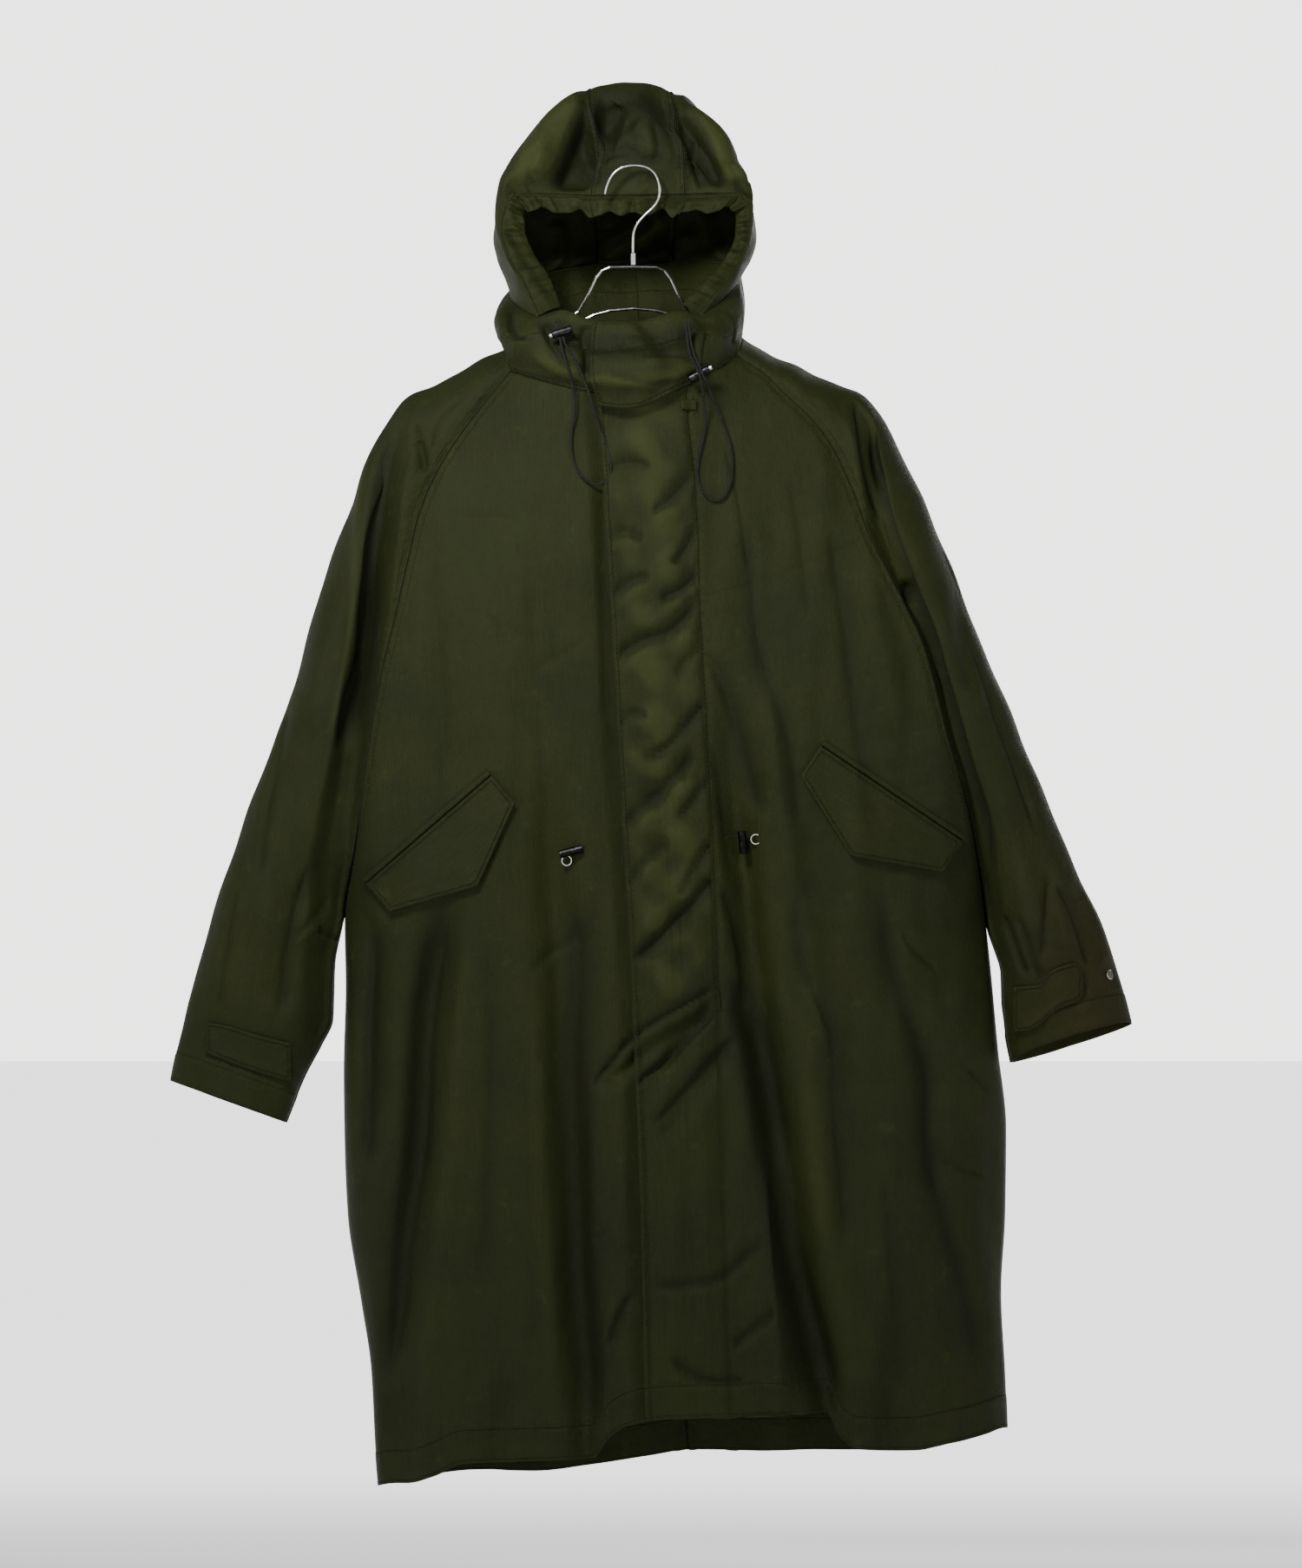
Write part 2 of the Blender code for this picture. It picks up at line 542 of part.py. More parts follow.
# ---------------------------------------------------------------- mesh and wall
def new_material(name, colour, roughness, metallic=0.0):
    material = bpy.data.materials.new(name)
    material.use_nodes = True
    shader = material.node_tree.nodes["Principled BSDF"]
    shader.inputs["Base Color"].default_value = (*colour, 1.0)
    shader.inputs["Roughness"].default_value = roughness
    shader.inputs["Metallic"].default_value = metallic
    return material


def add_object(name, data, material):
    item = bpy.data.objects.new(name, data)
    bpy.context.scene.collection.objects.link(item)
    data.materials.append(material)
    return item


def finish_mesh(name, mesh, material):
    """Make the object, smooth but for its sharp rims."""
    for face in mesh.faces:
        face.smooth = True
    for edge in mesh.edges:
        if len(edge.link_faces) == 2 and edge.calc_face_angle() > 0.75:
            edge.smooth = False
    data = bpy.data.meshes.new(name)
    mesh.to_mesh(data)
    mesh.free()
    return add_object(name, data, material)


def open_mesh(points, inside):
    """Single-layer mesh of a grid of points in mm, facing away from the point inside."""
    rows, columns = points.shape[:2]
    mesh = bmesh.new()
    bmesh.ops.create_grid(mesh, x_segments=columns - 1, y_segments=rows - 1, size=1)
    mesh.verts.ensure_lookup_table()
    for vert, point in zip(mesh.verts, points.reshape(-1, 3)):
        vert.co = Vector(point) * MM
    bmesh.ops.remove_doubles(mesh, verts=mesh.verts[:], dist=1e-6)
    mesh.normal_update()
    middle = Vector(inside) * MM
    facing = sum(face.normal.dot(face.calc_center_median() - middle) * face.calc_area()
                 for face in mesh.faces)
    if facing < 0:
        bmesh.ops.reverse_faces(mesh, faces=mesh.faces[:])
        mesh.normal_update()
    return mesh


def place_key(co):
    return tuple(round(value, 5) for value in co)


def set_directions(meshes):
    """Give each point the mean normal of all pieces that meet there."""
    total = {}
    for name, mesh in meshes.items():
        weight = 0.15 if name.startswith("collar") else 1.0
        for vert in mesh.verts:
            key = place_key(vert.co)
            total[key] = total.get(key, Vector()) + vert.normal * weight
    for mesh in meshes.values():
        layer = mesh.verts.layers.float_vector.new("wall_direction")
        for vert in mesh.verts:
            vert[layer] = total[place_key(vert.co)].normalized()


def pull_edges(mesh, amount):
    """Draw every open edge back along the cloth, to leave room at the seams."""
    inward = {}
    for edge in mesh.edges:
        if len(edge.link_faces) != 1:
            continue
        first, second = edge.verts
        run = (second.co - first.co).normalized()
        into = edge.link_faces[0].calc_center_median() - (first.co + second.co) / 2
        into = (into - run * into.dot(run)).normalized()
        for vert in edge.verts:
            inward.setdefault(vert, []).append(into)
    for vert, ways in inward.items():
        if len(ways) == 2:
            mitre = max(1 + ways[0].dot(ways[1]), 0.4)
            vert.co += (ways[0] + ways[1]) * (amount / mitre)


def make_wall(name, mesh, material, thickness=WALL):
    """Close an open mesh into a wall that grows inwards."""
    layer = mesh.verts.layers.float_vector["wall_direction"]
    grown = bmesh.ops.extrude_face_region(mesh, geom=mesh.faces[:], use_keep_orig=True)
    for item in grown["geom"]:
        if isinstance(item, bmesh.types.BMVert):
            item.co -= Vector(item[layer]) * (thickness * MM)
    bmesh.ops.recalc_face_normals(mesh, faces=mesh.faces[:])
    return finish_mesh(name, mesh, material)


# ---------------------------------------------------------------- materials
OLIVE = new_material("olive_cloth", (0.052, 0.060, 0.026), 0.62)
STEEL = new_material("polished_steel", (0.74, 0.73, 0.70), 0.18, 1.0)
GUNMETAL = new_material("dark_barrel", (0.045, 0.045, 0.045), 0.35, 0.7)
BLACK_CORD = new_material("black_cord", (0.012, 0.012, 0.011), 0.8)

# ---------------------------------------------------------------- coat
arm_rows = np.linspace(0, 1, ARM_ROWS + 1)
low_rows = np.linspace(1, 2, LOW_ROWS + 1)
cuff_rows = np.linspace(1, 2, CUFF_ROWS + 1)
body_rows = np.concatenate([arm_rows, low_rows[1:]])

panels = {
    "front_right": front_panel(-1, body_rows),
    "front_left": front_panel(1, body_rows),
    "back_right": back_panel(-1, body_rows),
    "back_left": back_panel(1, body_rows),
    "sleeve_right": sleeve_panel(-1, arm_rows, cuff_rows),
    "sleeve_left": sleeve_panel(1, arm_rows, cuff_rows),
}
panels["fly_placket"] = fly_panel(panels["front_left"], body_rows, FLY_FINER)

hood_along = np.array([0, 0.06, 0.13, 0.21, 0.30, 0.40, 0.50, 0.60, 0.70, 0.80, 0.90, 1.0])
hood_share = np.linspace(0, 1, 11)
panels["hood_right"] = hood_side(-1, hood_along, hood_share)
panels["hood_left"] = hood_side(1, hood_along, hood_share)
panels["hood_centre"] = hood_centre(hood_along, np.linspace(0, 1, 9))
rim = np.concatenate([
    panels["hood_right"][::-1, -1], panels["hood_right"][0, -2::-1],
    panels["hood_centre"][0, 1:], panels["hood_left"][0, 1:], panels["hood_left"][1:, -1]])
panels["hood_channel"] = channel_panel(rim)


def collar_grid(side):
    """Collar half whose neck edge takes the points of front, sleeve and back."""
    word = "right" if side < 0 else "left"
    front = panels["front_" + word][0]
    if side > 0:
        front = np.concatenate([panels["fly_placket"][0, :-1], front])
    base = np.concatenate([
        front, panels["sleeve_" + word][0, 1:], panels["back_" + word][0, -2::-1]])
    hood_edge = panels["hood_" + word][-1, ::-1]
    centre_edge = panels["hood_centre"][-1]
    half = centre_edge[:5] if side < 0 else centre_edge[:3:-1]
    hood_edge = np.concatenate([hood_edge, half[1:]])
    free_columns = len(front) - 3
    last = len(base) - 1
    spread = np.interp(np.arange(15), (0, 5, 10, 14), (free_columns, last - 8, last - 3, last))
    stops, kept = np.unique(np.round(spread), return_index=True)
    table = COLLAR_TOP_RIGHT if side < 0 else COLLAR_TOP_LEFT
    free = table.at(1 - np.arange(free_columns) / free_columns)
    top = np.empty_like(base)
    top[:free_columns] = stack(free.x, free.y, free.z)
    for axis in range(3):
        top[free_columns:, axis] = np.interp(
            np.arange(free_columns, len(base)), stops, hood_edge[kept, axis])
    turn = np.arctan2(np.abs(base[:, 0] + 14), -base[:, 1])
    front_roll = 15 * (1 - ease(0.7, 1.5, turn))
    side_roll = (8 if side < 0 else 1) * ease(0.8, 1.4, turn) * (1 - ease(1.9, 2.6, turn))
    points = collar_panel(base, top, front_roll + side_roll + 3)
    if side > 0:
        in_front = base[:, 1] < 0
        proud = (1 - ease(30, 62, base[:, 0])) * in_front
        hanging = (1 - ease(-20, 48, base[:, 0])) * in_front
        lower = np.linspace(1, 0, len(points))[:, None]
        points[..., 1] -= (3.5 + 3.0 * lower) * proud[None, :]
        points[..., 2] -= 12 * lower ** 2 * hanging[None, :]
    return points


panels["collar_right"] = collar_grid(-1)
panels["collar_left"] = collar_grid(1)

INSIDE = {
    "front": (30, 0, -700), "back": (30, 0, -700), "fly": (30, 0, -700),
    "hood": (-10, 62, -30), "collar": (-14, 0, -170),
}
meshes = {}
for name, points in panels.items():
    inside = INSIDE.get(name.split("_")[0])
    if name == "sleeve_right":
        inside = (-300, 0, -560)
    if name == "sleeve_left":
        inside = (340, 0, -560)
    if name == "hood_channel":
        inside = (-10, 62, -60)
    meshes[name] = open_mesh(points, inside)
set_directions(meshes)
fly = meshes["fly_placket"]
fly.verts.ensure_lookup_table()
layer = fly.verts.layers.float_vector["wall_direction"]
for row in range(len(body_rows) - 1):
    first = fly.verts[row * FLY_FINER * 6 + 5][layer].copy()
    last = fly.verts[(row + 1) * FLY_FINER * 6 + 5][layer].copy()
    for part in range(1, FLY_FINER):
        fly.verts[(row * FLY_FINER + part) * 6 + 5][layer] = first.lerp(last, part / FLY_FINER)
for mesh in meshes.values():
    pull_edges(mesh, SEAM_GAP / 2 * MM)
cloth = {name: make_wall(name, mesh, OLIVE) for name, mesh in meshes.items()}

# ---------------------------------------------------------------- pieces that lie on the cloth
NEARBY = ((0, 0), (5, 0), (-5, 0), (0, 5), (0, -5))


def tree_of(*names):
    """Search tree of some built pieces."""
    mesh = bmesh.new()
    for name in names:
        mesh.from_mesh(bpy.data.objects[name].data)
    tree = BVHTree.FromBMesh(mesh)
    mesh.free()
    return tree


def seat(item, *names):
    """Move a piece back until it lies just clear of the pieces that carry it."""
    below = tree_of(*names)
    spots = [vert.co.copy() for name in names for vert in bpy.data.objects[name].data.vertices]
    for _ in range(8):
        own_mesh = bmesh.new()
        own_mesh.from_mesh(item.data)
        own = BVHTree.FromBMesh(own_mesh)
        near = [below.find_nearest(vert.co)[3] for vert in own_mesh.verts]
        near += [below.find_nearest((edge.verts[0].co + edge.verts[1].co) / 2)[3]
                 for edge in own_mesh.edges]
        own_mesh.free()
        for spot in spots:
            hit = own.find_nearest(spot, 0.02)
            if hit[0] is not None:
                near.append(hit[3])
        move = min(near) - SEAT * MM
        if move < 0.02 * MM:
            break
        item.data.transform(Matrix.Translation((0, move, 0)))
    return item


def touch(tree, x, z):
    """How far out the cloth comes round a place seen from the front (its least y)."""
    hits = []
    for aside, up in NEARBY:
        start = Vector((x + aside, -400, z + up)) * MM
        hit = tree.ray_cast(start, Vector((0, 1, 0)))[0]
        if hit is not None:
            hits.append(hit.y / MM)
    return min(hits)


def laid_piece(name, on, x, z, lift=0.5, thickness=WALL):
    """Piece that follows the cloth it lies on."""
    tree = tree_of(*on)
    points = np.empty(x.shape + (3,))
    for index in np.ndindex(*x.shape):
        depth = touch(tree, x[index], z[index]) - lift - thickness
        points[index] = (x[index], depth, z[index])
    mesh = open_mesh(points, (x.mean(), 500, z.mean()))
    set_directions({name: mesh})
    return seat(make_wall(name, mesh, OLIVE, thickness), *on)


def pocket(word, start_x, start_z, run_x, run_z, down_x, down_z, length):
    """Slanted welt with its pointed flap below."""
    on = ("front_" + word,)
    reach, share = grid(np.linspace(0, length, 14), np.linspace(0, 1, 5))
    depth = across(POCKET_MIDDLE, POCKET_END, np.abs(2 * reach / length - 1))
    below = 0.8 + (depth - 0.8) * share
    x = start_x + run_x * reach + down_x * below
    z = start_z + run_z * reach + down_z * below
    laid_piece("pocket_flap_" + word, on, x, z, 1.3, 1.5)
    reach, share = grid(np.linspace(0, length, 14), np.linspace(0, 1, 2))
    x = start_x + run_x * reach - down_x * WELT_WIDTH * share
    z = start_z + run_z * reach - down_z * WELT_WIDTH * share
    laid_piece("pocket_welt_" + word, on, x, z, 0.9, WALL)


pocket("right", -142, -596, -0.757, -0.653, 0.653, -0.757, POCKET_LENGTH - 20)
pocket("left", 181, -567, 0.83, -0.558, -0.558, -0.83, POCKET_LENGTH - 14)

for word, table in (("right", CUFF_TAB_RIGHT), ("left", CUFF_TAB_LEFT)):
    ends = table.rows[:, 0]
    x, share = grid(np.linspace(ends[0], ends[-1], 9), np.linspace(0, 1, 5))
    sizes = table.at(x)
    laid_piece("cuff_tab_" + word, ("sleeve_" + word,), x, across(sizes.top, sizes.low, share),
               0.6, 1.6)

x, share = grid(np.linspace(44, 59, 4), np.linspace(0, 1, 3))
laid_piece("collar_tab", ("fly_placket", "front_left"), x,
           across(-229.5, -238 - (x - 46) * 0.1, share), 0.5, WALL)
front_tree = tree_of("front_right", "front_left", "fly_placket")


# ---------------------------------------------------------------- hard pieces and cords
def rod(name, start, stop, diameter, material, sides=14):
    """Solid round bar between two places."""
    start = Vector(start) * MM
    stop = Vector(stop) * MM
    mesh = bmesh.new()
    bmesh.ops.create_cone(mesh, cap_ends=True, segments=sides, radius1=diameter / 2 * MM,
                          radius2=diameter / 2 * MM, depth=(stop - start).length)
    turn = (stop - start).to_track_quat("Z", "Y").to_matrix().to_4x4()
    bmesh.ops.transform(mesh, verts=mesh.verts, matrix=Matrix.Translation((start + stop) / 2) @ turn)
    bmesh.ops.bevel(mesh, geom=[edge for edge in mesh.edges if edge.calc_face_angle() > 1.2],
                    offset=diameter * 0.08 * MM, segments=1, profile=0.5, affect="EDGES")
    return finish_mesh(name, mesh, material)


def ring(name, centre, normal, outer, wire, material):
    """Round eyelet."""
    turn = Vector(normal).to_track_quat("Z", "Y")
    middle = Vector(centre)
    mesh = bmesh.new()
    bmesh.ops.create_grid(mesh, x_segments=18, y_segments=6, size=1)
    mesh.verts.ensure_lookup_table()
    radius = (outer - wire) / 2
    for number, vert in enumerate(mesh.verts):
        round_angle = 2 * math.pi * (number % 19) / 18
        wire_angle = 2 * math.pi * (number // 19) / 6
        reach = radius + wire / 2 * math.cos(wire_angle)
        spot = Vector((reach * math.cos(round_angle), reach * math.sin(round_angle),
                       wire / 2 * math.sin(wire_angle)))
        vert.co = (middle + turn @ spot) * MM
    bmesh.ops.remove_doubles(mesh, verts=mesh.verts[:], dist=1e-6)
    bmesh.ops.recalc_face_normals(mesh, faces=mesh.faces[:])
    return finish_mesh(name, mesh, material)


def smooth_route(points, spacing, closed=False):
    """Points at an even spacing on a smooth line through hand-set places."""
    points = np.array(points, dtype=float)
    if closed:
        chain = np.vstack([points[-1], points, points[0], points[1]])
    else:
        chain = np.vstack([2 * points[0] - points[1], points, 2 * points[-1] - points[-2]])
    fine = []
    for a, b, c, d in zip(chain, chain[1:], chain[2:], chain[3:]):
        count = max(1, round(float(np.linalg.norm(c - b)) / spacing))
        t = (np.arange(count) / count)[:, None]
        fine.append(0.5 * (2 * b + (c - a) * t + (2 * a - 5 * b + 4 * c - d) * t ** 2
                           + (3 * b - a - 3 * c + d) * t ** 3))
    if not closed:
        fine.append(points[-1:])
    return np.vstack(fine)


def tube(name, points, diameter, material, closed=False):
    """Round cord or wire along a line of points."""
    curve = bpy.data.curves.new(name, "CURVE")
    curve.dimensions = "3D"
    curve.bevel_depth = diameter / 2 * MM
    curve.bevel_resolution = 2
    curve.use_fill_caps = True
    spline = curve.splines.new("POLY")
    spline.points.add(len(points) - 1)
    for item, point in zip(spline.points, points):
        item.co = (*(Vector(point) * MM), 1.0)
    spline.use_cyclic_u = closed
    spline.use_smooth = True
    return add_object(name, curve, material)


def barrel_depth(tree, ends, diameter):
    """Depth of a barrel's middle line when it lies on the cloth."""
    x_start, z_start, x_stop, z_stop = ends
    spots = [touch(tree, across(x_start, x_stop, t), across(z_start, z_stop, t) + up)
             for t in (-0.1, 0.1, 0.3, 0.5, 0.7, 0.9, 1.05) for up in (-3, 0, 3)]
    return min(spots) - diameter / 2 - 0.5


def lain_cord(route, tree, toggle_ends, toggle_y):
    """Give each point of a flat route the depth at which the cord lies on the cloth."""
    flat = smooth_route([(x, 0, z) for x, z in route], 6.5)
    x_start, z_start, x_stop, z_stop = toggle_ends
    middle = np.array([(x_start + x_stop) / 2, (z_start + z_stop) / 2])
    need = np.array([touch(tree, x, z) - CORD / 2 - 0.5 for x, _, z in flat])
    away = np.hypot(flat[:, 0] - middle[0], flat[:, 2] - middle[1])
    held = away < 11
    need = np.where(held, toggle_y, need)
    count = len(need)
    least = np.array([need[max(0, i - 2):i + 3].min() for i in range(count)])
    flat[:, 1] = [least[max(0, i - 2):i + 3].mean() for i in range(count)]
    flat[held, 1] = toggle_y
    return flat


chin_tree = tree_of("collar_right", "collar_left", "front_right", "front_left", "fly_placket",
                    "hood_channel")
for word, ends, route, slot in (("right", HOOD_BARREL_RIGHT, CORD_RIGHT, 7.8),
                                ("left", HOOD_BARREL_LEFT, CORD_LEFT, 9.2)):
    depth = barrel_depth(chin_tree, ends, BARREL)
    start = Vector((ends[0], depth, ends[1]))
    stop = Vector((ends[2], depth, ends[3]))
    run = (stop - start).normalized()
    if word == "right":
        plunger_start, plunger_stop = start, start + run * 3
        start = start + run * 3.3
    else:
        plunger_start, plunger_stop = stop - run * 3, stop
        stop = stop - run * 3.3
    toggle = rod("hood_toggle_" + word, start, stop, BARREL, GUNMETAL)
    rod("hood_plunger_" + word, plunger_start, plunger_stop, PLUNGER, STEEL)
    middle = Vector(((ends[0] + ends[2]) / 2, depth, (ends[1] + ends[3]) / 2))
    mesh = bmesh.new()
    bmesh.ops.create_cube(mesh, size=1)
    bmesh.ops.scale(mesh, vec=Vector((slot, 3.4, 16)) * MM, verts=mesh.verts)
    bmesh.ops.translate(mesh, vec=middle * MM, verts=mesh.verts)
    cutter = finish_mesh("toggle_hole_cutter_" + word, mesh, GUNMETAL)
    cutter.hide_render = True
    cutter.display_type = "WIRE"
    hole = toggle.modifiers.new("cord hole", "BOOLEAN")
    hole.operation = "DIFFERENCE"
    hole.solver = "EXACT"
    hole.object = cutter
    points = lain_cord(route, chin_tree, ends, depth)
    tube("hood_cord_" + word, points, CORD, BLACK_CORD)

for word, ends, eye in (("right", WAIST_BARREL_RIGHT, (-68, -680)),
                        ("left", WAIST_BARREL_LEFT, (117, -659))):
    face = touch(front_tree, *eye)
    eyelet = ring("waist_eyelet_" + word, (eye[0], face - 2.5, eye[1]), (0, -1, 0), EYELET, 1.6,
                  STEEL)
    seat(eyelet, "front_" + word)
    depth = barrel_depth(front_tree, ends, BARREL) - 3.0
    toggle = rod("waist_toggle_" + word, (ends[0], depth, ends[1]), (ends[2], depth, ends[3]),
                 BARREL, BLACK_CORD)
    seat(toggle, "front_" + word, "waist_eyelet_" + word)
toggle_y = sum(vert.co.y for vert in toggle.data.vertices) / len(toggle.data.vertices) / MM
cord_end = [(x, across(toggle_y, touch(front_tree, x, z) - 1.5, ease(99, 90, x)), z)
            for x, _, z in smooth_route([(x, 0, z) for x, z in WAIST_CORD_LEFT], 4)]
tube("waist_cord_left", cord_end, 2.0, BLACK_CORD)

sleeve_tree = tree_of("sleeve_left")
snap_hit = sleeve_tree.ray_cast(Vector((463, -400, -792)) * MM, Vector((0, 1, 0)))
snap_out = snap_hit[1]
if snap_out.y > 0:
    snap_out = -snap_out
snap_start = snap_hit[0] / MM + snap_out * 0.8
snap = rod("cuff_snap_left", snap_start, snap_start + snap_out * 1.8, 10.0, STEEL)
seat(snap, "sleeve_left")

# Hanger: the wire runs just below the ridge of each shoulder.
hanger_tree = tree_of("sleeve_right", "sleeve_left")


def under_ridge(x):
    """Height of the wire's middle where it touches the cloth from below."""
    top = hanger_tree.ray_cast(Vector((x, 0, -400)) * MM, Vector((0, 0, 1)))[0].z / MM
    for lower in np.arange(1.5, 14.0, 0.1):
        place = Vector((x, 0, top - lower)) * MM
        if hanger_tree.find_nearest(place)[3] / MM > WIRE / 2 + 0.4:
            return top - lower
    return top - 14.0


HANGER_MIDDLE = -3.0
frame_route = [(HANGER_MIDDLE, 0, HANGER_NECK[0][1])]
bar_route = [(HANGER_MIDDLE, 0, HANGER_BAR[0][1])]
halves = []
for side, last in ((-1, 218), (1, 216)):
    out_part = []
    for x, z in HANGER_NECK[1:]:
        out_part.append((HANGER_MIDDLE + side * (HANGER_MIDDLE - x), 0, z))
    stations = [side * x for x in np.linspace(133 if side < 0 else 112, last, 9)]
    heights = [under_ridge(x) for x in stations]
    out_part = [item for item in out_part if abs(item[0]) < abs(stations[0]) - 12]
    out_part += [(x, 0, z) for x, z in zip(stations, heights)]
    tip_x = stations[-1] + side * 9
    back_part = [(tip_x, 0, heights[-1] - 11), (stations[-1] - side * 4, 0, heights[-1] - 14)]
    back_part += [(x, 0, z - 13) for x, z in zip(stations[-3::-2], heights[-3::-2])]
    back_part += [(HANGER_MIDDLE + side * (HANGER_MIDDLE - x), 0, z)
                  for x, z in HANGER_BAR[:0:-1]]
    halves.append((out_part, back_part))
(right_out, right_back), (left_out, left_back) = halves
loop = frame_route + right_out + right_back + bar_route + left_back[::-1] + left_out[::-1]
tube("hanger_frame", smooth_route(loop, 17, closed=True), WIRE, STEEL, closed=True)
tube("hanger_hook", smooth_route([(x, 0, z) for x, z in HOOK], 6), WIRE, STEEL)
rod("hanger_ferrule", (HANGER_MIDDLE, 0, -84.3), (HANGER_MIDDLE, 0, -96.1), 5.4, STEEL)
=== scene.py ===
import json
import math
from types import SimpleNamespace

import bmesh
import bpy
import numpy as np
from mathutils import Matrix, Vector
from mathutils.bvhtree import BVHTree

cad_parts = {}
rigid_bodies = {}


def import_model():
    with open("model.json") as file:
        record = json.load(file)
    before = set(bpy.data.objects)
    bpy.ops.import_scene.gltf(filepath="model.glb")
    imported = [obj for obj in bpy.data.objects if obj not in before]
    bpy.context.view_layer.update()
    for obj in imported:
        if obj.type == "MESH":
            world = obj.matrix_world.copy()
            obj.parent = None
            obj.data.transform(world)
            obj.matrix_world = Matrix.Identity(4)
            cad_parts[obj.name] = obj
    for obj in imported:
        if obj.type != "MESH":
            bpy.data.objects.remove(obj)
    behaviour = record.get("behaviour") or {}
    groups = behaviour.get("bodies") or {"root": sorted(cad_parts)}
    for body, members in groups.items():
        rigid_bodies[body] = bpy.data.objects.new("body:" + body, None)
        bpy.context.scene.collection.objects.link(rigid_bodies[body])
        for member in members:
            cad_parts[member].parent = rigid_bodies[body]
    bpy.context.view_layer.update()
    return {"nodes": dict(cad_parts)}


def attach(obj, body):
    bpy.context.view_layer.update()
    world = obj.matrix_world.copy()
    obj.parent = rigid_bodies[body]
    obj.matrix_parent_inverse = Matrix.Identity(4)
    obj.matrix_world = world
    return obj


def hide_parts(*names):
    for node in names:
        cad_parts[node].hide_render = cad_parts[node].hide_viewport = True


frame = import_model()
cad = frame["nodes"]
MM = 0.001

# ------------------------------------------------------------------ studio
# A pale floor below the hem that brightens away from the coat, and a bright horizon. The
# main light is near, above the hood on the left, with a weak one in front and one behind.
# The camera is level and far away.
CAMERA_DISTANCE = 30.0
FRAME_HEIGHT = 1.535
FRAME_CENTRE = (0.0145, -0.605)
SENSOR = 36                     # camera sensor width in mm
FLOOR = -1.42
FLOOR_GLOW = (0.9, 6.5)         # distances from the coat between which the floor brightens
COAT_MIDDLE = Vector((0, 0, -0.6))

camera_data = bpy.data.cameras.new("camera")
camera_data.sensor_width = SENSOR
camera_data.clip_end = 200
camera_data.lens = SENSOR * CAMERA_DISTANCE / FRAME_HEIGHT
camera = bpy.data.objects.new("camera", camera_data)
camera.location = (FRAME_CENTRE[0], -CAMERA_DISTANCE - 0.05, FRAME_CENTRE[1])
camera.rotation_euler = (math.pi / 2, 0, 0)
bpy.context.scene.collection.objects.link(camera)
bpy.context.scene.camera = camera


class Field:
    """A value in a material. Sums and products of fields become Math nodes."""

    def __init__(self, tree, socket):
        self.tree = tree
        self.socket = socket

    def node(self, kind, settings=(), inputs=(), output=0):
        made = self.tree.nodes.new("ShaderNode" + kind)
        for name, value in dict(settings).items():
            setattr(made, name, value)
        for name, value in dict(inputs).items():
            if isinstance(value, Field):
                self.tree.links.new(value.socket, made.inputs[name])
            else:
                made.inputs[name].default_value = value
        return Field(self.tree, made.outputs[output])

    def math(self, operation, *values):
        return self.node("Math", {"operation": operation}, dict(enumerate(values)))

    def __add__(self, other):
        return self.math("ADD", self, other)

    __radd__ = __add__

    def __mul__(self, other):
        return self.math("MULTIPLY", self, other)

    __rmul__ = __mul__

    def __sub__(self, other):
        return self.math("SUBTRACT", self, other)

    def __rsub__(self, other):
        return self.math("SUBTRACT", other, self)

    def between(self, low, high):
        """0 at low, 1 at high, smooth between."""
        return self.node("MapRange", {"interpolation_type": "SMOOTHSTEP"},
                         {"Value": self, "From Min": low, "From Max": high})

    def line_at(self, place, half):
        """1 where the field equals place, falling to 0 at half on either side."""
        return 1.0 - self.math("ABSOLUTE", self - place).between(0.0, half)

    def tint(self, first, second):
        """Colour that goes from first to second as the field goes from 0 to 1."""
        return self.node("Mix", {"data_type": "RGBA"}, {0: self, 6: first, 7: second}, 2)


class Finish:
    """A new material with its shader, and fields of its coordinates."""

    def __init__(self, name, roughness, metallic=0.0, **constants):
        self.material = bpy.data.materials.new(name)
        self.material.use_nodes = True
        self.tree = self.material.node_tree
        self.shader = self.tree.nodes["Principled BSDF"]
        self.shader.inputs["Roughness"].default_value = roughness
        self.shader.inputs["Metallic"].default_value = metallic
        for socket, value in constants.items():
            self.shader.inputs[socket.replace("_", " ")].default_value = value
        self.root = Field(self.tree, None)
        coordinates = self.tree.nodes.new("ShaderNodeTexCoord")
        self.place = Field(self.tree, coordinates.outputs["Object"])
        self.cloth_place = Field(self.tree, coordinates.outputs["UV"])

    def named(self, name, output):
        return self.root.node("Attribute", {"attribute_name": name}, (), output)

    def scaled(self, place, scale):
        return self.root.node("Mapping", (), {"Vector": place, "Scale": scale})

    def noise(self, place, scale, detail=2.0, rough=0.5):
        return self.root.node("TexNoise", (), {
            "Vector": place, "Scale": scale, "Detail": detail, "Roughness": rough})

    def wave(self, place, direction, scale, distortion=0.0):
        return self.root.node("TexWave", {"bands_direction": direction}, {
            "Vector": place, "Scale": scale, "Distortion": distortion}, 1)

    def feed(self, socket, field):
        self.tree.links.new(field.socket, self.shader.inputs[socket])

    def bump(self, height, distance, strength=1.0):
        self.feed("Normal", self.root.node("Bump", (), {
            "Height": height, "Distance": distance, "Strength": strength}))


